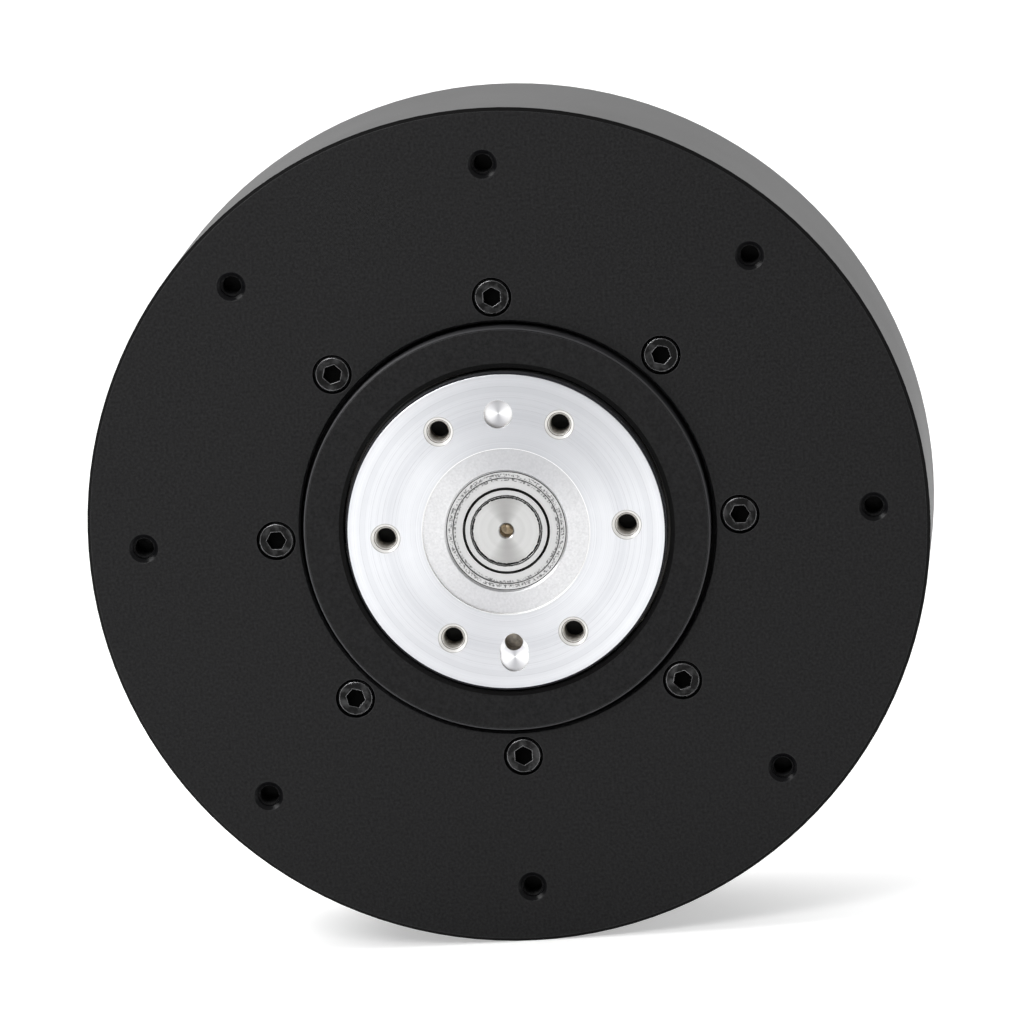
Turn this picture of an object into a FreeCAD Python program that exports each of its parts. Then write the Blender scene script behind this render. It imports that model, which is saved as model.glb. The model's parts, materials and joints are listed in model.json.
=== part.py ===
import FreeCAD, Part
import Sketcher
import math
import os

# Robot joint actuator: a flat brushless motor wrapped round a planetary gearbox, with its driver
# board behind. The output axis lies along Y and the output flange faces -Y. The origin is on that
# axis, in the front face of the housing plate. +Z is up. All lengths are in millimetres.

Vector = FreeCAD.Vector
os.makedirs("parts", exist_ok=True)
doc = FreeCAD.newDocument("joint_actuator")

# ---------------------------------------------------------------- driving sizes

SIZES = [
    ("housing_diameter", 98.0, "outside of the body"),
    ("plate_thickness", 5.0, "front plate of the housing"),
    ("wall_thickness", 4.2, "side wall of the housing"),
    ("edge_chamfer", 0.4, "outer front edge of the housing"),
    ("rebate_lip", 0.7, "thin lip round the motor rear plate"),
    ("mount_edge", 6.5, "from the outside to the circle of threaded mounting holes"),
    ("mount_count", 8, "threaded mounting holes in the plate"),
    ("mount_depth", 4.2, "depth of the threaded mounting holes"),
    ("thread_bore", 2.5, "core diameter of an M3 thread"),
    ("thread_mouth", 3.4, "chamfered mouth of an M3 thread"),
    ("screw_margin", 2.9, "from the plate's bore to the gearbox screws"),
    ("screw_count", 8, "gearbox screws"),
    ("screw_shank", 2.5, "M2.5 shank"),
    ("screw_head", 4.2, "M2.5 socket head"),
    ("screw_head_height", 2.5, "M2.5 socket head"),
    ("screw_hex", 2.0, "socket across flats"),
    ("screw_hex_depth", 1.4, "socket depth"),
    ("head_chamfer", 0.2, "edge of a screw head"),
    ("screw_recess", 0.2, "head below the plate's face"),
    ("screw_end_gap", 0.3, "screw end short of the thread's far end"),
    ("hole_clearance", 0.1, "radial room round a screw shank"),
    ("thread_clearance", 0.01, "radial room of a screw in its thread"),
    ("head_clearance", 0.2, "radial room round a screw head"),
    ("nose_projection", 1.7, "gearbox nose ring in front of the plate"),
    ("nose_wall", 1.1, "nose ring outside the main bearing"),
    ("nose_gap", 0.5, "radial gap between nose ring and plate"),
    ("lip_thickness", 2.0, "lip in front of the main bearing"),
    ("small_chamfer", 0.25, "broken edges that catch the light"),
    ("flange_step", 2.6, "output flange over the main bearing's inner ring"),
    ("flange_projection", 2.9, "output face in front of the plate"),
    ("flange_gap", 0.4, "radial gap between flange and nose ring"),
    ("flange_hole_edge", 2.0, "output's threaded holes inside the bearing's bore"),
    ("flange_hole_count", 6, "threaded holes in the output"),
    ("flange_hole_depth", 4.4, "depth of the output's threaded holes"),
    ("recess_diameter", 19.4, "shallow recess in the output face"),
    ("recess_depth", 0.4, "shallow recess in the output face"),
    ("dowel_diameter", 3.3, "shallow locating recess in the output face"),
    ("dowel_radius", 13.75, "its distance from the axis"),
    ("dowel_depth", 0.8, "its depth"),
    ("relief_inner", 13.9, "inner arc centre of the milled relief"),
    ("relief_outer", 14.8, "outer arc centre of the milled relief"),
    ("relief_depth", 0.5, "depth of the milled relief"),
    ("relief_pin", 2.1, "small pin hole in the milled relief"),
    ("relief_pin_radius", 13.0, "its distance from the axis"),
    ("relief_pin_depth", 3.0, "its depth"),
    ("main_bore", 32.0, "crossed roller bearing, bore"),
    ("main_section", 6.5, "crossed roller bearing, from bore to outside"),
    ("main_width", 5.0, "crossed roller bearing, width"),
    ("race_gap", 0.6, "between its inner and outer ring"),
    ("roller_share", 0.43, "its rollers, as a share of that section"),
    ("roller_count", 24, "its rollers"),
    ("roller_sides", 12, "flats that stand for a roller's round side"),
    ("roller_end_gap", 0.2, "rollers shorter than they are thick"),
    ("spacer_inset", 0.5, "spacers narrower than the rollers"),
    ("groove_relief", 0.12, "flat at the bottom of each race groove"),
    ("spacer_clearance", 0.35, "room beside the spacers between the rollers"),
    ("running_clearance", 0.03, "radial clearance of running fits"),
    ("clip_thickness", 0.9, "retaining ring behind the main bearing"),
    ("clip_depth", 1.0, "groove of the retaining ring"),
    ("clip_reach", 1.9, "retaining ring over the bearing's face"),
    ("clip_room", 0.1, "axial room of the retaining ring in its groove"),
    ("clip_relief", 0.4, "bore behind the groove"),
    ("clip_opening", 6.0, "gap in the retaining ring"),
    ("small_bore", 8.0, "shaft bearings, bore"),
    ("small_outer", 14.0, "shaft bearings, outside"),
    ("small_width", 4.0, "shaft bearings, width"),
    ("ring_share", 0.2833, "wall of each of their rings, as a share of the room between"),
    ("ball_diameter", 1.6, "shaft bearing balls"),
    ("ball_count", 9, "shaft bearing balls"),
    ("ball_fill", 0.96, "flats of a ball, as a share of its radius"),
    ("race_half", 0.6, "half the width of a ball groove"),
    ("race_flat", 0.35, "half the flat at its bottom"),
    ("shield_thickness", 0.2, "bearing shields"),
    ("shield_gap", 0.12, "between shield and inner ring"),
    ("shield_inset", 0.1, "shields behind the rings' faces"),
    ("bearing_recess", 0.2, "output bearing below the recess floor"),
    ("seat_chamfer", 0.2, "mouth of the output bearing's seat"),
    ("shaft_inset", 0.1, "shaft face behind the bearing's face"),
    ("journal_chamfer", 0.15, "end of the front journal"),
    ("centre_mouth", 1.9, "centre hole in the shaft"),
    ("centre_hole", 1.6, "centre hole in the shaft"),
    ("centre_depth", 2.5, "centre hole in the shaft"),
    ("centre_cone", 0.5, "its drilled point"),
    ("shoulder_step", 0.1, "shaft shoulder past the inner ring's edge"),
    ("gear_module", 0.5, "tooth size of the planetary set"),
    ("pressure_angle", 20.0, "degrees"),
    ("dedendum", 1.25, "root depth as a share of the module"),
    ("cut_overrun", 0.4, "cutters run past the blank"),
    ("cut_flare", 1.1, "widening of a tooth space past the blank"),
    ("backlash", 0.04, "thinning of each tooth at the pitch circle"),
    ("sun_teeth", 18, "teeth on the motor's pinion"),
    ("planet_teeth", 36, "teeth on a planet"),
    ("planet_count", 3, "planets"),
    ("planet_angle", 30.0, "place of the first planet, degrees"),
    ("sun_angle", 12.0, "place of one pinion tooth at rest, degrees"),
    ("gear_face", 6.4, "width of the planets"),
    ("planet_float", 0.4, "axial room beside the planets"),
    ("pinion_overrun", 0.1, "pinion teeth past the planets' float"),
    ("neck_step", 0.5, "shaft behind the pinion, past its teeth"),
    ("planet_pin", 5.0, "planet pin diameter"),
    ("bush_wall", 1.0, "planet bush wall"),
    ("ring_wall", 1.7, "ring gear outside its teeth"),
    ("tube_wall", 2.0, "gearbox tube that carries the stator"),
    ("core_shoulder", 1.6, "step in front of the stator core"),
    ("flange_margin", 3.6, "gearbox flange outside its screws"),
    ("carrier_front_thickness", 3.0, "front plate of the planet carrier"),
    ("carrier_rear_thickness", 1.8, "rear plate of the planet carrier"),
    ("post_diameter", 6.0, "posts between the carrier plates"),
    ("post_inset", 0.7, "posts nearer the axis than the planet pins"),
    ("pin_seat", 0.4, "planet pins behind the carrier's front face"),
    ("carrier_head", 4.5, "carrier screw head"),
    ("carrier_head_height", 1.4, "carrier screw head"),
    ("carrier_grip", 4.0, "carrier screw thread in the output flange"),
    ("sun_clearance", 0.4, "round the pinion"),
    ("shaft_flange", 18.0, "flange that carries the rotor hub"),
    ("shaft_flange_thickness", 1.7, "flange that carries the rotor hub"),
    ("hub_gap", 0.7, "between carrier screws and rotor hub"),
    ("hub_thickness", 1.6, "rotor hub disc"),
    ("hub_hole", 13.0, "lightening holes in the rotor hub"),
    ("hub_hole_count", 6, "lightening holes and hub screws"),
    ("hub_hole_angle", 30.0, "place of the first lightening hole, degrees"),
    ("hub_screw", 2.0, "M2 countersunk screws"),
    ("hub_screw_head", 3.4, "M2 countersunk screws"),
    ("hub_screw_cone", 0.8, "M2 countersunk screws"),
    ("hub_screw_inset", 1.9, "hub screws inside the shaft flange's edge"),
    ("rotor_clearance", 0.6, "between rotor and side wall"),
    ("back_iron", 1.6, "rotor ring"),
    ("magnet_thickness", 1.8, "rotor magnets"),
    ("magnet_glue", 0.02, "glue behind a magnet's corners"),
    ("magnet_fill", 0.85, "share of the circle that magnets cover"),
    ("magnet_count", 42, "rotor magnets"),
    ("magnet_overhang", 0.9, "magnets past each end of the stator core"),
    ("rotor_overhang", 0.5, "rotor ring past the magnets"),
    ("air_gap", 0.4, "between stator and magnets"),
    ("slot_count", 36, "stator slots"),
    ("tooth_share", 0.48, "stator tooth, as a share of the tooth pitch at the coils"),
    ("yoke_share", 0.3, "core inside its slots, as a share of its depth"),
    ("tip_share", 0.13, "shoes of its teeth, as a share of its depth"),
    ("slot_mouth", 1.6, "gap between shoes"),
    ("shoe_slope", 0.9, "height of a shoe's sloping flank"),
    ("stator_step", 0.9, "core in front of the gearbox flange's back"),
    ("coil_overhang", 1.8, "winding past each end of the core"),
    ("coil_gap", 0.4, "between neighbouring coils"),
    ("coil_liner", 0.15, "insulation between coil and core"),
    ("coil_room", 0.4, "between a coil and the yoke or the shoes"),
    ("coil_end_gap", 1.0, "between windings and rotor hub"),
    ("lead_diameter", 1.2, "phase leads"),
    ("lead_pitch", 2.2, "spacing of the phase leads"),
    ("lead_clearance", 0.4, "room round the phase leads"),
    ("lead_bend", 1.0, "bend radius of the phase leads"),
    ("lead_room", 0.3, "between leads and windings"),
    ("lead_reach", 3.0, "leads under the windings"),
    ("lead_pass", 1.0, "leads behind the rotor hub"),
    ("lead_inset", 1.4, "leads inside the cover's wall"),
    ("lead_rise", 1.5, "last run of the leads before the board"),
    ("lead_pocket_end", 3.0, "pocket past the leads' bend"),
    ("lead_slot_edge", 0.2, "slot inside the cover's wall"),
    ("plate_gap", 1.2, "between rotor hub and motor rear plate"),
    ("rear_plate_thickness", 2.4, "motor rear plate"),
    ("rear_screw_count", 6, "screws of the motor rear plate"),
    ("rear_screw_depth", 5.0, "their thread in the side wall"),
    ("rear_screw_edge", 0.1, "plate outside its screw heads"),
    ("cover_gap", 0.3, "between screw heads and cover"),
    ("boss_wall", 2.5, "bearing boss of the motor rear plate"),
    ("bearing_shelf", 0.4, "rear bearing behind the plate's front face"),
    ("boss_lip", 0.6, "lip behind the rear bearing"),
    ("boss_reach", 0.15, "that lip over the outer ring"),
    ("magnet_diameter", 6.0, "encoder magnet"),
    ("encoder_magnet_height", 2.0, "encoder magnet"),
    ("encoder_gap", 0.4, "between magnet and encoder chip"),
    ("shaft_end_gap", 0.3, "shaft past the rear bearing"),
    ("encoder_chip_side", 5.0, "encoder chip"),
    ("encoder_chip_height", 0.8, "encoder chip"),
    ("board_thickness", 1.6, "driver board"),
    ("board_margin", 5.6, "board inside the cover's wall"),
    ("board_headroom", 2.3, "between board and cover"),
    ("standoff_diameter", 4.4, "board standoffs"),
    ("standoff_inset", 3.5, "standoffs inside the board's edge"),
    ("standoff_angle", 30.0, "place of the first standoff, degrees"),
    ("board_screw", 2.0, "M2 board screws"),
    ("board_screw_head", 3.8, "M2 board screws"),
    ("board_screw_height", 1.3, "M2 board screws"),
    ("board_screw_length", 4.0, "M2 board screws, under the head"),
    ("cover_wall", 1.4, "side wall of the rear cover"),
    ("cover_back", 1.6, "back of the rear cover"),
    ("cover_chamfer", 1.2, "rear edge of the cover"),
    ("cover_boss", 5.2, "screw bosses in the cover"),
    ("cover_boss_inset", 2.8, "bosses inside the cover's wall"),
    ("cover_boss_angle", 45.0, "place of the first boss, degrees"),
    ("cover_screw_count", 4, "cover screws, standoffs and board screws"),
    ("window_left", 20.0, "connector window, towards -X"),
    ("window_right", 12.0, "connector window, towards +X"),
    ("window_height", 8.0, "connector window"),
    ("connector_inset", 8.5, "row of connectors inside the board's edge"),
    ("connector_height", 3.5, "connectors on the board"),
    ("power_width", 13.0, "power connector"),
    ("power_depth", 6.4, "power connector"),
    ("power_place", 11.5, "power connector, towards -X"),
    ("power_pin", 2.0, "power connector pins"),
    ("power_pitch", 5.0, "power connector pins"),
    ("pin_inset", 0.4, "pins below the connector's rim"),
    ("signal_width", 6.0, "signal sockets"),
    ("signal_depth", 5.0, "signal sockets"),
    ("signal_place", 0.5, "first signal socket"),
    ("signal_pitch", 7.0, "spacing of the signal sockets"),
    ("signal_count", 2, "signal sockets"),
    ("socket_wall", 0.8, "wall of a connector"),
    ("socket_depth", 2.6, "cavity of a connector"),
    ("controller_side", 7.0, "controller chip"),
    ("controller_height", 0.9, "controller chip"),
    ("transistor_width", 5.0, "power transistors"),
    ("transistor_length", 6.0, "power transistors"),
    ("transistor_height", 1.0, "power transistors"),
    ("transistor_inset", 13.5, "power transistors inside the board's edge"),
    ("phase_angle", 50.0, "between the transistor pairs, degrees"),
    ("pair_angle", 15.0, "half the angle within a pair, degrees"),
    ("capacitor_width", 3.2, "bus capacitors"),
    ("capacitor_length", 2.5, "bus capacitors"),
    ("capacitor_height", 1.9, "bus capacitors"),
    ("capacitor_inset", 23.5, "bus capacitors inside the board's edge"),
    ("capacitor_angle", 45.0, "between the bus capacitors, degrees"),
]

# Places and radii that follow from the driving sizes. Levels are measured along Y.
FITS = [
    ("housing_radius", "Size.housing_diameter / 2"),
    ("wall_inner", "housing_radius - Size.wall_thickness"),
    ("rebate_radius", "housing_radius - Size.rebate_lip"),
    ("mount_radius", "housing_radius - Size.mount_edge"),
    ("main_outer", "Size.main_bore + 2 * Size.main_section"),
    ("roller_diameter", "Size.roller_share * Size.main_section"),
    ("nose_radius", "main_outer / 2 + Size.nose_wall"),
    ("plate_bore_radius", "nose_radius + Size.nose_gap"),
    ("screw_radius", "plate_bore_radius + Size.screw_margin"),
    ("head_seat", "Size.screw_recess + Size.screw_head_height"),
    ("flange_radius", "Size.main_bore / 2 + Size.flange_step"),
    ("flange_hole_radius", "Size.main_bore / 2 - Size.flange_hole_edge"),
    ("lip_radius", "flange_radius + Size.flange_gap"),
    ("flange_face", "-Size.flange_projection"),
    ("nose_face", "-Size.nose_projection"),
    ("bearing_front", "nose_face + Size.lip_thickness"),
    ("bearing_rear", "bearing_front + Size.main_width"),
    ("bearing_middle", "(Size.main_bore + main_outer) / 4"),
    ("groove_half", "(roller_diameter / 2 + Size.running_clearance) * sqrt(2)"),
    ("carrier_radius", "bearing_middle - Size.race_gap / 2"),
    ("carrier_front_back", "bearing_rear + Size.carrier_front_thickness"),
    ("planet_front", "carrier_front_back + Size.planet_float"),
    ("planet_back", "planet_front + Size.gear_face"),
    ("carrier_rear_front", "planet_back + Size.planet_float"),
    ("carrier_rear_back", "carrier_rear_front + Size.carrier_rear_thickness"),
    ("carrier_head_back", "carrier_rear_back + Size.carrier_head_height"),
    ("hub_front", "carrier_head_back + Size.hub_gap"),
    ("hub_back", "hub_front + Size.hub_thickness"),
    ("rear_plate_front", "hub_back + Size.plate_gap"),
    ("housing_back", "rear_plate_front + Size.rear_plate_thickness"),
    ("rear_bearing_front", "rear_plate_front + Size.bearing_shelf"),
    ("rear_bearing_back", "rear_bearing_front + Size.small_width"),
    ("boss_back", "rear_bearing_back + Size.boss_lip"),
    ("shaft_back", "rear_bearing_back + Size.shaft_end_gap"),
    ("magnet_back", "shaft_back + Size.encoder_magnet_height"),
    ("chip_front", "magnet_back + Size.encoder_gap"),
    ("board_front", "chip_front + Size.encoder_chip_height"),
    ("board_back", "board_front + Size.board_thickness"),
    ("cover_inside", "board_back + Size.board_headroom"),
    ("cover_rear", "cover_inside + Size.cover_back"),
    ("clip_back", "bearing_rear + Size.clip_thickness + Size.clip_room"),
    ("gearbox_flange_back", "planet_front - Size.planet_float / 2"),
    ("pinion_back", "carrier_rear_front + Size.pinion_overrun"),
    ("shaft_front", "flange_face + Size.recess_depth + Size.bearing_recess + Size.shaft_inset"),
    ("pin_front", "bearing_rear + Size.pin_seat"),
    ("stator_front", "gearbox_flange_back + Size.stator_step"),
    ("stator_back", "hub_front - Size.coil_end_gap - Size.coil_overhang"),
    ("coil_front", "stator_front - Size.coil_overhang"),
    ("coil_back", "stator_back + Size.coil_overhang"),
    ("magnets_front", "stator_front - Size.magnet_overhang"),
    ("magnets_back", "stator_back + Size.magnet_overhang"),
    ("rotor_front", "magnets_front - Size.rotor_overhang"),
    ("ring_teeth", "Size.sun_teeth + 2 * Size.planet_teeth"),
    ("sun_pitch", "Size.gear_module * Size.sun_teeth / 2"),
    ("planet_pitch", "Size.gear_module * Size.planet_teeth / 2"),
    ("ring_pitch", "Size.gear_module * ring_teeth / 2"),
    ("centre_distance", "sun_pitch + planet_pitch"),
    ("sun_tip", "sun_pitch + Size.gear_module"),
    ("ring_outer", "ring_pitch + Size.dedendum * Size.gear_module + Size.ring_wall"),
    ("tube_radius", "ring_outer + Size.tube_wall"),
    ("core_seat_radius", "tube_radius + Size.core_shoulder"),
    ("post_radius", "centre_distance - Size.post_inset"),
    ("post_angle", "Size.planet_angle + 180 / Size.planet_count"),
    ("sun_bore", "sun_tip + Size.sun_clearance"),
    ("neck_radius", "sun_tip + Size.neck_step"),
    ("carrier_rear_bore", "neck_radius + 2 * Size.sun_clearance"),
    ("shaft_flange_front", "hub_front - Size.shaft_flange_thickness"),
    ("hub_screw_radius", "Size.shaft_flange / 2 - Size.hub_screw_inset"),
    ("small_section", "(Size.small_outer - Size.small_bore) / 2"),
    ("small_race_inner", "Size.small_bore / 2 + Size.ring_share * small_section"),
    ("small_race_outer", "Size.small_outer / 2 - Size.ring_share * small_section"),
    ("spigot_radius", "small_race_inner + Size.shoulder_step"),
    ("boss_lip_radius", "small_race_outer - Size.boss_reach"),
    ("ball_radius_from_axis", "(Size.small_bore + Size.small_outer) / 4"),
    ("output_bearing_front", "flange_face + Size.recess_depth + Size.bearing_recess"),
    ("output_bearing_back", "output_bearing_front + Size.small_width"),
    ("rotor_radius", "wall_inner - Size.rotor_clearance"),
    ("iron_inner", "rotor_radius - Size.back_iron"),
    ("magnet_half", "Size.magnet_fill * pi * iron_inner / Size.magnet_count"),
    ("magnet_outer", "sqrt(iron_inner ^ 2 - magnet_half ^ 2) - Size.magnet_glue"),
    ("magnet_inner", "magnet_outer - Size.magnet_thickness"),
    ("stator_radius", "magnet_inner - Size.air_gap"),
    ("core_depth", "stator_radius - tube_radius"),
    ("slot_bottom", "tube_radius + Size.yoke_share * core_depth"),
    ("gearbox_flange_radius", "min(screw_radius + Size.flange_margin; slot_bottom)"),
    ("shoe_bottom", "stator_radius - Size.tip_share * core_depth"),
    ("slot_half_angle", "180 / Size.slot_count"),
    ("coil_inner", "slot_bottom + Size.coil_room"),
    ("coil_outer", "shoe_bottom - Size.coil_room"),
    ("tooth_width", "Size.tooth_share * 2 * pi * coil_inner / Size.slot_count"),
    ("coil_half", "coil_inner * sin(slot_half_angle * 1 deg) - Size.coil_gap / 2"),
    ("lead_radius", "wall_inner + Size.lead_diameter / 2"),
    ("lead_front", "coil_front - Size.lead_room - Size.lead_diameter / 2"),
    ("lead_half_width", "Size.lead_pitch + Size.lead_diameter / 2 + Size.lead_clearance"),
    ("channel_radius", "lead_radius + Size.lead_diameter / 2 + Size.lead_clearance"),
    ("lead_crossing", "hub_back + Size.lead_pass + Size.lead_diameter / 2"),
    ("lead_pocket_floor", "lead_crossing + Size.lead_diameter / 2 + Size.lead_clearance"),
    ("rear_screw_radius", "rebate_radius - Size.hub_screw_head / 2 - Size.rear_screw_edge"),
    ("cover_radius", "rear_screw_radius - Size.hub_screw_head / 2 - Size.cover_gap"),
    ("cover_inner", "cover_radius - Size.cover_wall"),
    ("cover_boss_radius", "cover_inner - Size.cover_boss_inset"),
    ("board_radius", "cover_inner - Size.board_margin"),
    ("standoff_radius", "board_radius - Size.standoff_inset"),
    ("window_drop", "board_radius - Size.connector_inset"),
    ("transistor_radius", "board_radius - Size.transistor_inset"),
    ("capacitor_radius", "board_radius - Size.capacitor_inset"),
    ("lead_turn", "cover_inner - Size.lead_inset"),
    ("lead_pad", "board_radius - Size.lead_diameter"),
]


def make_sheet(name, rows, formula):
    """One spreadsheet row per value: its name, the value and, if there is one, a note."""
    sheet = doc.addObject("Spreadsheet::Sheet", name)
    for row, entry in enumerate(rows, start=1):
        sheet.set(f"A{row}", entry[0])
        sheet.set(f"B{row}", ("=" if formula else "") + str(entry[1]))
        sheet.setAlias(f"B{row}", entry[0])
        if len(entry) > 2:
            sheet.set(f"C{row}", entry[2])
    doc.recompute()
    return sheet


size = make_sheet("Size", SIZES, False)
fit = make_sheet("Fit", FITS, True)

# ---------------------------------------------------------------- modelling helpers


def new_body(label):
    body = doc.addObject("PartDesign::Body", label)
    body.Label = label
    return body


def origin_feature(body, role):
    return [item for item in body.Origin.OriginFeatures if item.Role == role][0]


def attach(body, name, role, offsets, turn="0"):
    """A sketch on one of the body's own planes, moved and turned within it by expressions."""
    sketch = body.newObject("Sketcher::SketchObject", name)
    sketch.AttachmentSupport = [(origin_feature(body, role), "")]
    sketch.MapMode = "FlatFace"
    spin_axis = Vector(0, 1, 0) if role == "XY_Plane" else Vector(0, 0, 1)
    sketch.AttachmentOffset = FreeCAD.Placement(Vector(), FreeCAD.Rotation(spin_axis, 1))
    sketch.setExpression("AttachmentOffset.Rotation.Angle", f"({turn}) * 1 deg")
    for axis, expression in zip("xyz", offsets):
        sketch.setExpression(f"AttachmentOffset.Base.{axis}", expression)
    return sketch


def draw_loops(sketch, loops):
    """Closed outlines whose corners are dimensioned from the sketch's origin."""
    first = 0
    for loop in loops:
        count = len(loop)
        corners = [
            Vector(math.cos(2 * math.pi * i / count), math.sin(2 * math.pi * i / count), 0)
            for i in range(count)
        ]
        for i in range(count):
            sketch.addGeometry(Part.LineSegment(corners[i], corners[(i + 1) % count]), False)
        for i in range(count):
            here, following = first + i, first + (i + 1) % count
            sketch.addConstraint(Sketcher.Constraint("Coincident", here, 2, following, 1))
        for i, point in enumerate(loop):
            for kind, expression in zip(("DistanceX", "DistanceY"), point):
                rule = Sketcher.Constraint(kind, -1, 1, first + i, 1, 1.0)
                number = sketch.addConstraint(rule)
                sketch.setExpression(f"Constraints[{number}]", str(expression))
        first += count


def turned(body, name, outline, cut=False, radius="0", angle="0", place=None):
    """A piece or a cut made on the lathe: an outline of (distance, level) turned about a line
    along Y that stands `radius` from the output axis in the direction `angle`, or at `place`."""
    if place is None:
        place = (f"({radius}) * cos(({angle}) * 1 deg)", f"({radius}) * sin(({angle}) * 1 deg)")
    sketch = attach(body, name + "_outline", "XY_Plane", (place[0], "0", place[1]), f"-({angle})")
    draw_loops(sketch, [outline])
    kind = "PartDesign::Groove" if cut else "PartDesign::Revolution"
    feature = body.newObject(kind, name)
    feature.Profile = sketch
    feature.ReferenceAxis = (sketch, ["V_Axis"])
    feature.Angle = 360
    body.Tip = feature
    return feature


def extruded(body, name, loops, front, back, cut=False, turn="0"):
    """Outlines of (x, z) raised or cut from the level `front` to the level `back`."""
    sketch = attach(body, name + "_outline", "XZ_Plane", ("0", "0", f"-({front})"), turn)
    draw_loops(sketch, loops)
    feature = body.newObject("PartDesign::Pocket" if cut else "PartDesign::Pad", name)
    feature.Profile = sketch
    feature.setExpression("Length", f"({back}) - ({front})")
    if not cut:
        feature.Reversed = True
    body.Tip = feature
    return feature


def around(body, count, *features):
    """Repeats features evenly round the output axis."""
    pattern = body.newObject("PartDesign::PolarPattern", features[0].Name + "_circle")
    pattern.Originals = list(features)
    pattern.Axis = (origin_feature(body, "Y_Axis"), [""])
    pattern.Angle = 360
    pattern.setExpression("Occurrences", count)
    body.Tip = pattern
    return pattern


def ring(inner, outer, front, back):
    """Section of a plain ring."""
    return [(inner, front), (outer, front), (outer, back), (inner, back)]


def rod(radius, front, back):
    """Section of a plain round bar on the turning axis."""
    return ring("0", radius, front, back)


def rectangle(left, right, bottom, top):
    return [(left, bottom), (right, bottom), (right, top), (left, top)]


def threaded_hole(face, depth):
    """Section of an M3 threaded hole with its chamfered mouth, for a cut."""
    mouth, bore = "Size.thread_mouth / 2", "Size.thread_bore / 2"
    return [
        ("0", face),
        (mouth, face),
        (bore, f"{face} + {mouth} - {bore}"),
        (bore, f"{face} + {depth}"),
        ("0", f"{face} + {depth}"),
    ]


def hexagon(flats, distance):
    """Corners of a hexagonal socket whose centre stands `distance` from the axis along X."""
    corners = []
    for i in range(6):
        across = f"{flats} / sqrt(3)"
        corners.append((f"{distance} + {across} * cos({60 * i} deg)", f"{across} * sin({60 * i} deg)"))
    return corners


# ---------------------------------------------------------------- front housing

housing = new_body("front_housing")
turned(housing, "cup", [
    ("Fit.plate_bore_radius + Size.small_chamfer", "0"),
    ("Fit.housing_radius - Size.edge_chamfer", "0"),
    ("Fit.housing_radius", "Size.edge_chamfer"),
    ("Fit.housing_radius", "Fit.housing_back"),
    ("Fit.rebate_radius", "Fit.housing_back"),
    ("Fit.rebate_radius", "Fit.rear_plate_front"),
    ("Fit.wall_inner", "Fit.rear_plate_front"),
    ("Fit.wall_inner", "Size.plate_thickness"),
    ("Fit.plate_bore_radius", "Size.plate_thickness"),
    ("Fit.plate_bore_radius", "Size.small_chamfer"),
])
mount_hole = turned(
    housing, "mount_hole", threaded_hole("0", "Size.mount_depth"), True, "Fit.mount_radius")
around(housing, "Size.mount_count", mount_hole)
counterbore = turned(housing, "counterbore", [
    ("0", "0"),
    ("Size.screw_head / 2 + Size.head_clearance", "0"),
    ("Size.screw_head / 2 + Size.head_clearance", "Fit.head_seat"),
    ("Size.screw_shank / 2 + Size.hole_clearance", "Fit.head_seat"),
    ("Size.screw_shank / 2 + Size.hole_clearance", "Size.plate_thickness"),
    ("0", "Size.plate_thickness"),
], True, "Fit.screw_radius")
around(housing, "Size.screw_count", counterbore)
extruded(housing, "lead_channel", [rectangle(
    "-Fit.lead_half_width", "Fit.lead_half_width", "Fit.wall_inner - Size.wall_thickness",
    "Fit.channel_radius",
)], "Size.plate_thickness", "Fit.rear_plate_front", True)
rear_thread = turned(housing, "rear_thread", rod(
    "Size.hub_screw / 2", "Fit.rear_plate_front - Size.rear_screw_depth", "Fit.rear_plate_front",
), True, "Fit.rear_screw_radius")
around(housing, "Size.rear_screw_count", rear_thread)

# ---------------------------------------------------------------- gearbox housing and its screws

gearbox = new_body("gearbox_housing")
turned(gearbox, "case", [
    ("Fit.lip_radius", "Fit.nose_face"),
    ("Fit.nose_radius - Size.small_chamfer", "Fit.nose_face"),
    ("Fit.nose_radius", "Fit.nose_face + Size.small_chamfer"),
    ("Fit.nose_radius", "Size.plate_thickness"),
    ("Fit.gearbox_flange_radius", "Size.plate_thickness"),
    ("Fit.gearbox_flange_radius", "Fit.gearbox_flange_back"),
    ("Fit.core_seat_radius", "Fit.gearbox_flange_back"),
    ("Fit.core_seat_radius", "Fit.stator_front"),
    ("Fit.tube_radius", "Fit.stator_front"),
    ("Fit.tube_radius", "Fit.stator_back"),
    ("Fit.ring_outer", "Fit.stator_back"),
    ("Fit.ring_outer", "Fit.gearbox_flange_back"),
    ("Fit.main_outer / 2 + Size.clip_relief", "Fit.gearbox_flange_back"),
    ("Fit.main_outer / 2 + Size.clip_relief", "Fit.clip_back"),
    ("Fit.main_outer / 2 + Size.clip_depth", "Fit.clip_back"),
    ("Fit.main_outer / 2 + Size.clip_depth", "Fit.bearing_rear"),
    ("Fit.main_outer / 2", "Fit.bearing_rear"),
    ("Fit.main_outer / 2", "Fit.bearing_front"),
    ("Fit.lip_radius", "Fit.bearing_front"),
])
screw_thread = turned(gearbox, "screw_thread", rod(
    "Size.screw_shank / 2 + Size.thread_clearance", "Size.plate_thickness", "Fit.gearbox_flange_back",
), True, "Fit.screw_radius")
around(gearbox, "Size.screw_count", screw_thread)

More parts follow.
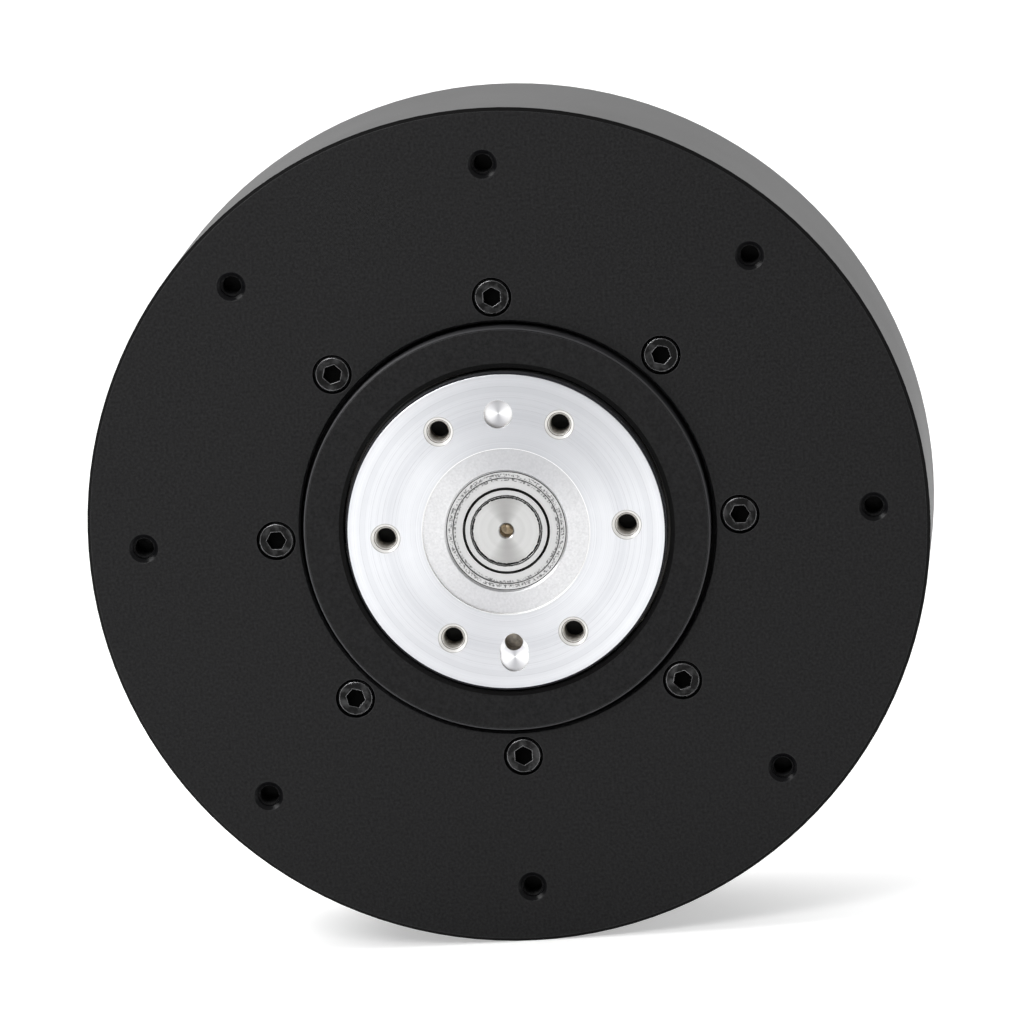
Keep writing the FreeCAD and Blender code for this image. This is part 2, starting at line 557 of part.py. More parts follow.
screws = new_body("gearbox_screws")
screws_turned = turned(screws, "screw", [
    ("0", "Size.screw_recess"),
    ("Size.screw_head / 2 - Size.head_chamfer", "Size.screw_recess"),
    ("Size.screw_head / 2", "Size.screw_recess + Size.head_chamfer"),
    ("Size.screw_head / 2", "Fit.head_seat"),
    ("Size.screw_shank / 2", "Fit.head_seat"),
    ("Size.screw_shank / 2", "Fit.gearbox_flange_back - Size.screw_end_gap"),
    ("0", "Fit.gearbox_flange_back - Size.screw_end_gap"),
], False, "Fit.screw_radius")
socket = extruded(screws, "socket", [hexagon("Size.screw_hex", "Fit.screw_radius")],
                  "Size.screw_recess", "Size.screw_recess + Size.screw_hex_depth", True)
around(screws, "Size.screw_count", screws_turned, socket)

# ---------------------------------------------------------------- planetary gears


def half_tooth(teeth, radius, thinning):
    """Half the angle of an involute tooth at a radius, in degrees, as an expression."""
    pitch = f"(Size.gear_module * {teeth} / 2)"
    base = f"({pitch} * cos(Size.pressure_angle * 1 deg))"
    local = f"acos(min(1; {base} / ({radius})))"
    involute = f"(tan(Size.pressure_angle * 1 deg) - Size.pressure_angle * pi / 180)"
    local_involute = f"(tan({local}) - {local} / 1 rad)"
    return (f"(90 / {teeth} + ({involute} - {local_involute} - ({thinning}) / (2 * {pitch}))"
            f" * 180 / pi)")


def polar(radius, angle):
    """A point of a sketch from its distance and its angle in degrees."""
    return (f"({radius}) * cos(({angle}) * 1 deg)", f"({radius}) * sin(({angle}) * 1 deg)")


def outer_space(teeth, steps):
    """The space between two teeth of an external gear, centred on the sketch's X axis."""
    pitch = f"(Size.gear_module * {teeth} / 2)"
    root = f"({pitch} - Size.dedendum * Size.gear_module)"
    tip = f"({pitch} + Size.gear_module)"
    side = []
    for step in range(steps + 1):
        radius = f"({root} + ({tip} - {root}) * {step} / {steps})"
        angle = f"(180 / {teeth} - {half_tooth(teeth, radius, 'Size.backlash')})"
        side.append((radius, angle))
    side.append((f"({tip} + Size.cut_overrun)", f"({side[-1][1]} * Size.cut_flare)"))
    upper = [polar(radius, angle) for radius, angle in side]
    lower = [polar(radius, f"-{angle}") for radius, angle in reversed(side)]
    return upper + lower


def inner_space(teeth):
    """The space between two teeth of an internal gear, centred on the sketch's X axis."""
    pitch = f"(Size.gear_module * {teeth} / 2)"
    root = f"({pitch} + Size.dedendum * Size.gear_module)"
    tip = f"({pitch} - Size.gear_module)"
    wide = half_tooth(teeth, tip, "-Size.backlash")
    narrow = half_tooth(teeth, root, "-Size.backlash")
    mouth = (f"({tip} - Size.cut_overrun)", f"({wide} * Size.cut_flare)")
    side = [(root, narrow), (tip, wide), mouth]
    upper = [polar(radius, angle) for radius, angle in side]
    lower = [polar(radius, f"-{angle}") for radius, angle in reversed(side)]
    return upper + lower


ring_gear = new_body("ring_gear")
turned(ring_gear, "blank", ring(
    "Fit.ring_pitch - Size.gear_module", "Fit.ring_outer",
    "Fit.gearbox_flange_back", "Fit.carrier_rear_front"))
ring_space = extruded(
    ring_gear, "tooth_space", [inner_space("Fit.ring_teeth")], "Fit.gearbox_flange_back",
    "Fit.carrier_rear_front", True,
    "(180 - Size.sun_angle * Size.sun_teeth) / Fit.ring_teeth")
around(ring_gear, "Fit.ring_teeth", ring_space)

# The pinion is cut along its whole length and then turned down to the shaft bearing's bore, which
# leaves the bottoms of its tooth spaces as small notches round the front journal.
sun = new_body("sun_gear_shaft")
turned(sun, "shaft", [
    ("0", "Fit.shaft_front"),
    ("Size.small_bore / 2 - Size.journal_chamfer", "Fit.shaft_front"),
    ("Size.small_bore / 2", "Fit.shaft_front + Size.journal_chamfer"),
    ("Size.small_bore / 2", "Fit.output_bearing_back"),
    ("Fit.sun_tip", "Fit.output_bearing_back"),
    ("Fit.sun_tip", "Fit.pinion_back"),
    ("Fit.neck_radius", "Fit.pinion_back"),
    ("Fit.neck_radius", "Fit.shaft_flange_front"),
    ("Size.shaft_flange / 2", "Fit.shaft_flange_front"),
    ("Size.shaft_flange / 2", "Fit.hub_front"),
    ("Fit.spigot_radius", "Fit.hub_front"),
    ("Fit.spigot_radius", "Fit.rear_bearing_front"),
    ("Size.small_bore / 2", "Fit.rear_bearing_front"),
    ("Size.small_bore / 2", "Fit.shaft_back"),
    ("0", "Fit.shaft_back"),
])
sun_space = extruded(
    sun, "tooth_space", [outer_space("Size.sun_teeth", 2)], "Fit.output_bearing_front",
    "Fit.pinion_back", True, "Size.sun_angle + 180 / Size.sun_teeth")
around(sun, "Size.sun_teeth", sun_space)
turned(sun, "centre_hole", [
    ("0", "Fit.shaft_front"),
    ("Size.centre_mouth / 2", "Fit.shaft_front"),
    ("Size.centre_hole / 2", "Fit.shaft_front + (Size.centre_mouth - Size.centre_hole) / 2"),
    ("Size.centre_hole / 2", "Fit.shaft_front + Size.centre_depth"),
    ("0", "Fit.shaft_front + Size.centre_depth + Size.centre_cone"),
], True)
hub_thread = turned(sun, "hub_thread", rod(
    "Size.hub_screw / 2", "Fit.shaft_flange_front", "Fit.hub_front"), True, "Fit.hub_screw_radius")
around(sun, "Size.hub_hole_count", hub_thread)


def planet_place(number):
    """The angle of a planet's pin in degrees, as an expression."""
    return f"(Size.planet_angle + {number} * 360 / Size.planet_count)"


for number in range(int(size.planet_count)):
    place = planet_place(number)
    middle = polar("Fit.centre_distance", place)
    spot = ("Placement.Base.x", middle[0]), ("Placement.Base.z", middle[1])
    planet = new_body(f"planet_gear_{number + 1}")
    turned(planet, "blank", ring(
        "Size.planet_pin / 2 + Size.bush_wall", "Fit.planet_pitch + Size.gear_module",
        "Fit.planet_front", "Fit.planet_back"))
    planet_space = extruded(
        planet, "tooth_space", [outer_space("Size.planet_teeth", 1)], "Fit.planet_front",
        "Fit.planet_back", True,
        f"{place} * (1 + Size.sun_teeth / Size.planet_teeth)"
        " - Size.sun_angle * Size.sun_teeth / Size.planet_teeth")
    around(planet, "Size.planet_teeth", planet_space)
    bush = new_body(f"planet_bush_{number + 1}")
    turned(bush, "bush", ring(
        "Size.planet_pin / 2 + Size.running_clearance", "Size.planet_pin / 2 + Size.bush_wall",
        "Fit.planet_front - Size.planet_float / 2", "Fit.planet_back + Size.planet_float / 2"))
    for body in (planet, bush):
        for path, expression in spot:
            body.setExpression(path, expression)

pins = new_body("planet_pins")
pin = turned(pins, "pin", rod(
    "Size.planet_pin / 2", "Fit.pin_front", "Fit.carrier_rear_back",
), False, "Fit.centre_distance", "Size.planet_angle")
around(pins, "Size.planet_count", pin)

# ---------------------------------------------------------------- output flange and carrier

output = new_body("output_flange")
turned(output, "flange", [
    ("Fit.sun_bore", "Fit.output_bearing_back"),
    ("Size.small_outer / 2", "Fit.output_bearing_back"),
    ("Size.small_outer / 2", "Fit.flange_face + Size.recess_depth + Size.seat_chamfer"),
    ("Size.small_outer / 2 + Size.seat_chamfer", "Fit.flange_face + Size.recess_depth"),
    ("Size.recess_diameter / 2", "Fit.flange_face + Size.recess_depth"),
    ("Size.recess_diameter / 2", "Fit.flange_face"),
    ("Fit.flange_radius - Size.small_chamfer", "Fit.flange_face"),
    ("Fit.flange_radius", "Fit.flange_face + Size.small_chamfer"),
    ("Fit.flange_radius", "Fit.bearing_front"),
    ("Size.main_bore / 2", "Fit.bearing_front"),
    ("Size.main_bore / 2", "Fit.bearing_rear"),
    ("Fit.sun_bore", "Fit.bearing_rear"),
])
output_hole = turned(
    output, "output_hole", threaded_hole("Fit.flange_face", "Size.flange_hole_depth"), True,
    "Fit.flange_hole_radius")
around(output, "Size.flange_hole_count", output_hole)
turned(output, "dowel_recess", rod(
    "Size.dowel_diameter / 2", "Fit.flange_face", "Fit.flange_face + Size.dowel_depth",
), True, "Size.dowel_radius", "90")
for end, name in (("Size.relief_inner", "relief_inner"), ("Size.relief_outer", "relief_outer")):
    turned(output, name, rod(
        "Size.dowel_diameter / 2", "Fit.flange_face", "Fit.flange_face + Size.relief_depth",
    ), True, end, "270")
extruded(output, "relief_middle", [rectangle(
    "-Size.dowel_diameter / 2", "Size.dowel_diameter / 2", "-Size.relief_outer",
    "-Size.relief_inner",
)], "Fit.flange_face", "Fit.flange_face + Size.relief_depth", True)
turned(output, "relief_hole", rod(
    "Size.relief_pin / 2", "Fit.flange_face", "Fit.flange_face + Size.relief_pin_depth",
), True, "Size.relief_pin_radius", "270")
carrier_thread = turned(output, "carrier_thread", rod(
    "Size.screw_shank / 2 + Size.thread_clearance", "Fit.bearing_rear - Size.carrier_grip",
    "Fit.bearing_rear",
), True, "Fit.post_radius", "Fit.post_angle")
around(output, "Size.planet_count", carrier_thread)

carrier = new_body("carrier_front_plate")
turned(carrier, "plate", ring(
    "Fit.sun_bore", "Fit.carrier_radius", "Fit.bearing_rear", "Fit.carrier_front_back"))
post = turned(carrier, "post", rod(
    "Size.post_diameter / 2", "Fit.carrier_front_back", "Fit.carrier_rear_front",
), False, "Fit.post_radius", "Fit.post_angle")
post_hole = turned(carrier, "post_hole", rod(
    "Size.screw_shank / 2 + Size.hole_clearance", "Fit.bearing_rear", "Fit.carrier_rear_front",
), True, "Fit.post_radius", "Fit.post_angle")
pin_hole = turned(carrier, "pin_hole", rod(
    "Size.planet_pin / 2", "Fit.pin_front", "Fit.carrier_front_back",
), True, "Fit.centre_distance", "Size.planet_angle")
around(carrier, "Size.planet_count", post, post_hole, pin_hole)

carrier_rear = new_body("carrier_rear_plate")
turned(carrier_rear, "plate", ring(
    "Fit.carrier_rear_bore", "Fit.carrier_radius", "Fit.carrier_rear_front",
    "Fit.carrier_rear_back"))
rear_hole = turned(carrier_rear, "screw_hole", rod(
    "Size.screw_shank / 2 + Size.hole_clearance", "Fit.carrier_rear_front",
    "Fit.carrier_rear_back",
), True, "Fit.post_radius", "Fit.post_angle")
rear_pin_hole = turned(carrier_rear, "pin_hole", rod(
    "Size.planet_pin / 2", "Fit.carrier_rear_front", "Fit.carrier_rear_back",
), True, "Fit.centre_distance", "Size.planet_angle")
around(carrier_rear, "Size.planet_count", rear_hole, rear_pin_hole)

carrier_screws = new_body("carrier_screws")
carrier_screw = turned(carrier_screws, "screw", [
    ("0", "Fit.bearing_rear - Size.carrier_grip + Size.screw_end_gap"),
    ("Size.screw_shank / 2", "Fit.bearing_rear - Size.carrier_grip + Size.screw_end_gap"),
    ("Size.screw_shank / 2", "Fit.carrier_rear_back"),
    ("Size.carrier_head / 2", "Fit.carrier_rear_back"),
    ("Size.carrier_head / 2", "Fit.carrier_head_back"),
    ("0", "Fit.carrier_head_back"),
], False, "Fit.post_radius", "Fit.post_angle")
around(carrier_screws, "Size.planet_count", carrier_screw)

# ---------------------------------------------------------------- crossed roller bearing


def race(outside, edge):
    """Section of a bearing ring with a square groove on edge for the crossed rollers."""
    middle = "(Fit.bearing_front + Fit.bearing_rear) / 2"
    side = "-" if outside < 0 else "+"
    lip = f"Fit.bearing_middle {side} Size.race_gap / 2"
    reach = "(Fit.groove_half - Size.race_gap / 2)"
    flat = f"Fit.bearing_middle {side} (Fit.groove_half - Size.groove_relief)"
    return [
        (edge, "Fit.bearing_front"),
        (edge, "Fit.bearing_rear"),
        (lip, "Fit.bearing_rear"),
        (lip, f"{middle} + {reach}"),
        (flat, f"{middle} + Size.groove_relief"),
        (flat, f"{middle} - Size.groove_relief"),
        (lip, f"{middle} - {reach}"),
        (lip, "Fit.bearing_front"),
    ]


outer_race = new_body("main_bearing_outer_ring")
turned(outer_race, "ring", race(1, "Fit.main_outer / 2"))
inner_race = new_body("main_bearing_inner_ring")
turned(inner_race, "ring", race(-1, "Size.main_bore / 2"))

clip = new_body("bearing_retaining_ring")
turned(clip, "clip", ring(
    "Fit.main_outer / 2 - Size.clip_reach",
    "Fit.main_outer / 2 + Size.clip_depth - Size.clip_room / 2",
    "Fit.bearing_rear", "Fit.bearing_rear + Size.clip_thickness"))
extruded(clip, "opening", [rectangle(
    "-Size.clip_opening / 2", "Size.clip_opening / 2",
    "Fit.main_outer / 2 - 2 * Size.clip_reach", "Fit.main_outer / 2 + 2 * Size.clip_depth",
)], "Fit.bearing_rear", "Fit.bearing_rear + Size.clip_thickness", True)


def group(label, shapes):
    """Loose like pieces that share a name, each a solid of its own."""
    feature = doc.addObject("Part::Feature", label)
    feature.Shape = Part.makeCompound(shapes)
    feature.Label = label
    return feature


def spun(shape, angle):
    """The shape turned about the output axis, so that +X comes to the angle given."""
    copy = shape.copy()
    copy.rotate(Vector(), Vector(0, 1, 0), -angle)
    return copy


roller_circle = fit.bearing_middle
roller_level = (fit.bearing_front + fit.bearing_rear) / 2
roller_pitch = 360.0 / size.roller_count
roller_length = fit.roller_diameter - size.roller_end_gap
spacer_side = fit.roller_diameter - size.spacer_inset
roller_step = 2 * roller_circle * math.sin(math.radians(roller_pitch / 2))
spacer_length = roller_step - fit.roller_diameter - size.spacer_clearance
rollers = []
spacers = []
for number in range(int(size.roller_count)):
    tilt = 45 if number % 2 else -45
    rim = Part.makePolygon([
        Vector(
            fit.roller_diameter / 2 * math.cos(2 * math.pi * i / size.roller_sides),
            fit.roller_diameter / 2 * math.sin(2 * math.pi * i / size.roller_sides),
            -roller_length / 2,
        )
        for i in range(int(size.roller_sides) + 1)
    ])
    roller = Part.Face(rim).extrude(Vector(0, 0, roller_length))
    roller.rotate(Vector(), Vector(1, 0, 0), 90)
    roller.rotate(Vector(), Vector(0, 0, 1), tilt)
    roller.translate(Vector(roller_circle, roller_level, 0))
    rollers.append(spun(roller, number * roller_pitch))
    spacer = Part.makeBox(spacer_side, spacer_side, spacer_length)
    spacer.translate(Vector(-spacer_side / 2, -spacer_side / 2, -spacer_length / 2))
    spacer.rotate(Vector(), Vector(0, 0, 1), 45)
    spacer.translate(
        Vector(roller_circle * math.cos(math.radians(roller_pitch / 2)), roller_level, 0))
    spacers.append(spun(spacer, (number + 0.5) * roller_pitch))
group("main_bearing_rollers", rollers)
group("main_bearing_spacers", spacers)

# ---------------------------------------------------------------- shaft bearings


def shaft_bearing(name, front):
    """Deep groove ball bearing with a shield on each side, its front face at the level given."""
    middle = f"({front} + Size.small_width / 2)"
    back = f"{front} + Size.small_width"
    for label, edge, lip, floor in (
        ("outer_ring", "Size.small_outer / 2", "Fit.small_race_outer",
         "Fit.ball_radius_from_axis + Size.ball_diameter / 2 + Size.running_clearance"),
        ("inner_ring", "Size.small_bore / 2", "Fit.small_race_inner",
         "Fit.ball_radius_from_axis - Size.ball_diameter / 2 - Size.running_clearance"),
    ):
        body = new_body(f"{name}_bearing_{label}")
        turned(body, "ring", [
            (edge, front),
            (edge, back),
            (lip, back),
            (lip, f"{middle} + Size.race_half"),
            (floor, f"{middle} + Size.race_flat"),
            (floor, f"{middle} - Size.race_flat"),
            (lip, f"{middle} - Size.race_half"),
            (lip, front),
        ])
    shields = new_body(f"{name}_bearing_shields")
    turned(shields, "front_shield", ring(
        "Fit.small_race_inner + Size.shield_gap", "Fit.small_race_outer",
        f"{front} + Size.shield_inset",
        f"{front} + Size.shield_inset + Size.shield_thickness"))
    turned(shields, "back_shield", ring(
        "Fit.small_race_inner + Size.shield_gap", "Fit.small_race_outer",
        f"{back} - Size.shield_inset - Size.shield_thickness",
        f"{back} - Size.shield_inset"))


def ball():
    """A bearing ball with flats: what three octagonal bars at right angles have in common."""
    across = size.ball_fill * size.ball_diameter / 2 / math.cos(math.radians(22.5))
    rim = Part.makePolygon([
        Vector(
            across * math.cos(math.radians(45 * i + 22.5)),
            across * math.sin(math.radians(45 * i + 22.5)),
            -size.ball_diameter,
        )
        for i in range(9)
    ])
    bar = Part.Face(rim).extrude(Vector(0, 0, 2 * size.ball_diameter))
    across_x, across_y = bar.copy(), bar.copy()
    across_x.rotate(Vector(), Vector(0, 1, 0), 90)
    across_y.rotate(Vector(), Vector(1, 0, 0), 90)
    return bar.common(across_x).common(across_y)


def ball_set(label, front):
    first = ball()
    first.translate(Vector(fit.ball_radius_from_axis, front + size.small_width / 2, 0))
    count = int(size.ball_count)
    group(label, [spun(first, number * 360.0 / count) for number in range(count)])


shaft_bearing("output", "Fit.output_bearing_front")
shaft_bearing("rear", "Fit.rear_bearing_front")
ball_set("output_bearing_balls", fit.output_bearing_front)
ball_set("rear_bearing_balls", fit.rear_bearing_front)

# ---------------------------------------------------------------- stator

core = new_body("stator_core")
turned(core, "lamination_stack", ring(
    "Fit.tube_radius", "Fit.stator_radius", "Fit.stator_front", "Fit.stator_back"))


def slot_edge(radius):
    """Half the width of a slot at a distance from the axis, along the slot's middle line."""
    return (f"(({radius}) * tan(Fit.slot_half_angle * 1 deg)"
            " - Fit.tooth_width / 2 / cos(Fit.slot_half_angle * 1 deg))")


slot_side = [
    ("Fit.slot_bottom", slot_edge("Fit.slot_bottom")),
    ("Fit.shoe_bottom", slot_edge("Fit.shoe_bottom")),
    ("Fit.shoe_bottom + Size.shoe_slope", "Size.slot_mouth / 2"),
    ("Fit.stator_radius + Size.cut_overrun", "Size.slot_mouth / 2"),
]
slot = extruded(
    core, "slot",
    [slot_side + [(radius, f"-{edge}") for radius, edge in reversed(slot_side)]],
    "Fit.stator_front", "Fit.stator_back", True, "Fit.slot_half_angle")
around(core, "Size.slot_count", slot)

# Each tooth carries one coil, wound round it between the yoke and the shoe.
windings = new_body("stator_windings")
coil_sketch = attach(windings, "coil_outline", "YZ_Plane", ("0", "0", "Fit.coil_inner"))
coil_window = "Fit.tooth_width / 2 + Size.coil_liner"
draw_loops(coil_sketch, [
    rectangle("Fit.coil_front", "Fit.coil_back", "-Fit.coil_half", "Fit.coil_half"),
    rectangle("Fit.stator_front - Size.coil_liner", "Fit.stator_back + Size.coil_liner",
              f"-({coil_window})", coil_window),
])
coil = windings.newObject("PartDesign::Pad", "coil")
coil.Profile = coil_sketch
coil.setExpression("Length", "Fit.coil_outer - Fit.coil_inner")
windings.Tip = coil
around(windings, "Size.slot_count", coil)

# The three phase leads run in front of the rotor to a channel in the side wall, pass behind the
# rotor in a pocket of the motor rear plate and go through its slot to the driver board.


def bent_wire(corners, bend):
    """Straight runs joined by tangent arcs."""
    edges = []
    start = corners[0]
    for before, corner, after in zip(corners, corners[1:], corners[2:]):
        inward = (before - corner).normalize()
        outward = (after - corner).normalize()
        half_turn = (math.pi - inward.getAngle(outward)) / 2
        reach = bend * math.tan(half_turn)
        first = corner + inward * reach
        last = corner + outward * reach
        bisector = (inward + outward).normalize()
        top = corner + bisector * (bend / math.cos(half_turn) - bend)
        edges.append(Part.LineSegment(start, first).toShape())
        edges.append(Part.Arc(first, top, last).toShape())
        start = last
    edges.append(Part.LineSegment(start, corners[-1]).toShape())
    return Part.Wire(edges)


lead_route = [
    (fit.coil_inner + size.lead_reach, fit.lead_front),
    (fit.lead_radius, fit.lead_front),
    (fit.lead_radius, fit.lead_crossing),
    (fit.lead_turn, fit.lead_crossing),
    (fit.lead_pad, fit.board_front - size.lead_rise),
    (fit.lead_pad, fit.board_front),
]
leads = []
for side in (-1, 0, 1):
    corners = [Vector(side * size.lead_pitch, level, away) for away, level in lead_route]
    spine = bent_wire(corners, size.lead_bend)
    rim = Part.makeCircle(size.lead_diameter / 2, corners[0], corners[1] - corners[0])
    leads.append(spine.makePipeShell([Part.Wire([rim])], True, True))
group("phase_leads", leads)

# ---------------------------------------------------------------- rotor

rotor_ring = new_body("rotor_ring")
turned(rotor_ring, "back_iron", ring(
    "Fit.iron_inner", "Fit.rotor_radius", "Fit.rotor_front", "Fit.hub_back"))

magnets = new_body("rotor_magnets")
magnet = extruded(magnets, "magnet", [rectangle(
    "Fit.magnet_inner", "Fit.magnet_outer", "-Fit.magnet_half", "Fit.magnet_half",
)], "Fit.magnets_front", "Fit.magnets_back")
around(magnets, "Size.magnet_count", magnet)

hub = new_body("rotor_hub")
turned(hub, "disc", ring(
    "Fit.spigot_radius", "Fit.iron_inner", "Fit.hub_front", "Fit.hub_back"))
hub_hole = turned(hub, "lightening_hole", rod(
    "Size.hub_hole / 2", "Fit.hub_front", "Fit.hub_back",
), True, "(Size.shaft_flange / 2 + Fit.iron_inner) / 2", "Size.hub_hole_angle")
countersink = [
    ("0", "Fit.hub_front"),
    ("Size.hub_screw / 2", "Fit.hub_front"),
    ("Size.hub_screw / 2", "Fit.hub_back - Size.hub_screw_cone"),
    ("Size.hub_screw_head / 2", "Fit.hub_back"),
    ("0", "Fit.hub_back"),
]
hub_screw_hole = turned(hub, "screw_hole", countersink, True, "Fit.hub_screw_radius")
around(hub, "Size.hub_hole_count", hub_hole, hub_screw_hole)

hub_screws = new_body("rotor_hub_screws")
hub_screw = turned(hub_screws, "screw", [
    ("0", "Fit.shaft_flange_front + Size.screw_end_gap"),
    ("Size.hub_screw / 2", "Fit.shaft_flange_front + Size.screw_end_gap"),
    ("Size.hub_screw / 2", "Fit.hub_back - Size.hub_screw_cone"),
    ("Size.hub_screw_head / 2", "Fit.hub_back"),
    ("0", "Fit.hub_back"),
], False, "Fit.hub_screw_radius")
around(hub_screws, "Size.hub_hole_count", hub_screw)

encoder_magnet = new_body("encoder_magnet")
turned(encoder_magnet, "disc", rod("Size.magnet_diameter / 2", "Fit.shaft_back", "Fit.magnet_back"))

# ---------------------------------------------------------------- motor rear plate

rear_plate = new_body("motor_rear_plate")
turned(rear_plate, "plate", [
    ("Size.small_outer / 2", "Fit.rear_plate_front"),
    ("Fit.rebate_radius", "Fit.rear_plate_front"),
    ("Fit.rebate_radius", "Fit.housing_back"),
    ("Size.small_outer / 2 + Size.boss_wall", "Fit.housing_back"),
    ("Size.small_outer / 2 + Size.boss_wall", "Fit.boss_back"),
    ("Fit.boss_lip_radius", "Fit.boss_back"),
    ("Fit.boss_lip_radius", "Fit.rear_bearing_back"),
    ("Size.small_outer / 2", "Fit.rear_bearing_back"),
])
extruded(rear_plate, "lead_pocket", [rectangle(
    "-Fit.lead_half_width", "Fit.lead_half_width", "Fit.lead_turn - Size.lead_pocket_end",
    "Fit.channel_radius",
)], "Fit.rear_plate_front", "Fit.lead_pocket_floor", True)
extruded(rear_plate, "lead_slot", [rectangle(
    "-Fit.lead_half_width", "Fit.lead_half_width", "Fit.lead_turn - Size.lead_pocket_end",
    "Fit.cover_inner - Size.lead_slot_edge",
)], "Fit.rear_plate_front", "Fit.housing_back", True)
plate_hole = turned(rear_plate, "screw_hole", [
    ("0", "Fit.rear_plate_front"),
    ("Size.hub_screw / 2", "Fit.rear_plate_front"),
    ("Size.hub_screw / 2", "Fit.housing_back - Size.hub_screw_cone"),
    ("Size.hub_screw_head / 2", "Fit.housing_back"),
    ("0", "Fit.housing_back"),
], True, "Fit.rear_screw_radius")
around(rear_plate, "Size.rear_screw_count", plate_hole)
cover_thread = turned(rear_plate, "cover_thread", rod(
    "Size.board_screw / 2", "Fit.rear_plate_front", "Fit.housing_back",
), True, "Fit.cover_boss_radius", "Size.cover_boss_angle")
around(rear_plate, "Size.cover_screw_count", cover_thread)

plate_screws = new_body("rear_plate_screws")
plate_screw = turned(plate_screws, "screw", [
    ("0", "Fit.rear_plate_front - Size.rear_screw_depth + Size.screw_end_gap"),
    ("Size.hub_screw / 2", "Fit.rear_plate_front - Size.rear_screw_depth + Size.screw_end_gap"),
    ("Size.hub_screw / 2", "Fit.housing_back - Size.hub_screw_cone"),
    ("Size.hub_screw_head / 2", "Fit.housing_back"),
    ("0", "Fit.housing_back"),
], False, "Fit.rear_screw_radius")
around(plate_screws, "Size.rear_screw_count", plate_screw)

# ---------------------------------------------------------------- driver board

standoffs = new_body("board_standoffs")
standoff = turned(standoffs, "standoff", ring(
    "Size.board_screw / 2", "Size.standoff_diameter / 2", "Fit.housing_back", "Fit.board_front",
), False, "Fit.standoff_radius", "Size.standoff_angle")
around(standoffs, "Size.cover_screw_count", standoff)

board = new_body("driver_board")
turned(board, "board", rod("Fit.board_radius", "Fit.board_front", "Fit.board_back"))
board_hole = turned(board, "screw_hole", rod(
    "Size.board_screw / 2 + Size.hole_clearance", "Fit.board_front", "Fit.board_back",
), True, "Fit.standoff_radius", "Size.standoff_angle")
around(board, "Size.cover_screw_count", board_hole)

board_screws = new_body("board_screws")
board_screw = turned(board_screws, "screw", [
    ("0", "Fit.board_back - Size.board_screw_length"),
    ("Size.board_screw / 2", "Fit.board_back - Size.board_screw_length"),
    ("Size.board_screw / 2", "Fit.board_back"),
    ("Size.board_screw_head / 2", "Fit.board_back"),
    ("Size.board_screw_head / 2", "Fit.board_back + Size.board_screw_height"),
    ("0", "Fit.board_back + Size.board_screw_height"),
], False, "Fit.standoff_radius", "Size.standoff_angle")
around(board_screws, "Size.cover_screw_count", board_screw)


def chip(label, centre_x, centre_z, width, length, front, back):
    """A rectangular package on the board, centred on a point of its face."""
    body = new_body(label)
    extruded(body, "package", [rectangle(
        f"({centre_x}) - ({width}) / 2", f"({centre_x}) + ({width}) / 2",
        f"({centre_z}) - ({length}) / 2", f"({centre_z}) + ({length}) / 2",
    )], front, back)
    return body


chip("encoder_chip", "0", "0", "Size.encoder_chip_side", "Size.encoder_chip_side",
     "Fit.chip_front", "Fit.board_front")
chip("controller_chip", "0", "0", "Size.controller_side", "Size.controller_side",
     "Fit.board_back", "Fit.board_back + Size.controller_height")


def board_parts(label, angles, radius, width, length, height):
    """Packages in an arc round the board's middle, each facing the axis."""
    packages = []
    for angle in angles:
        package = Part.makeBox(length, height, width)
        package.translate(Vector(radius - length / 2, fit.board_back, -width / 2))
        packages.append(spun(package, angle))
    group(label, packages)


# A pair of transistors for each motor phase, and the capacitors nearer the axis.
transistor_angles = [
    90 + phase * size.phase_angle + side * size.pair_angle
    for phase in (-1, 0, 1)
    for side in (-1, 1)
]
capacitor_angles = [90 + place * size.capacitor_angle for place in (-2, -1, 0, 1, 2)]
board_parts("power_transistors", transistor_angles, fit.transistor_radius,
            size.transistor_width, size.transistor_length, size.transistor_height)
board_parts("bus_capacitors", capacitor_angles, fit.capacitor_radius,
            size.capacitor_width, size.capacitor_length, size.capacitor_height)


def socket_shell(label, centre_x, width, depth):
    """An open-ended connector that faces the rear."""
    top = "Fit.board_back + Size.connector_height"
    shell = chip(label, centre_x, "-Fit.window_drop", width, depth, "Fit.board_back", top)
    extruded(shell, "cavity", [rectangle(
        f"({centre_x}) - ({width}) / 2 + Size.socket_wall",
        f"({centre_x}) + ({width}) / 2 - Size.socket_wall",
        f"-Fit.window_drop - ({depth}) / 2 + Size.socket_wall",
        f"-Fit.window_drop + ({depth}) / 2 - Size.socket_wall",
    )], f"{top} - Size.socket_depth", top, True)
    return shell


socket_shell("power_connector", "-Size.power_place", "Size.power_width", "Size.power_depth")
power_pins = new_body("power_pins")
pin_top = "Fit.board_back + Size.connector_height"
for side, name in (("-", "left_pin"), ("+", "right_pin")):
    turned(power_pins, name, rod(
        "Size.power_pin / 2", f"{pin_top} - Size.socket_depth", f"{pin_top} - Size.pin_inset",
    ), place=(f"-Size.power_place {side} Size.power_pitch / 2", "-Fit.window_drop"))
for number in range(int(size.signal_count)):
    socket_shell(
        f"signal_socket_{number + 1}", f"Size.signal_place + {number} * Size.signal_pitch",
        "Size.signal_width", "Size.signal_depth")

# ---------------------------------------------------------------- rear cover

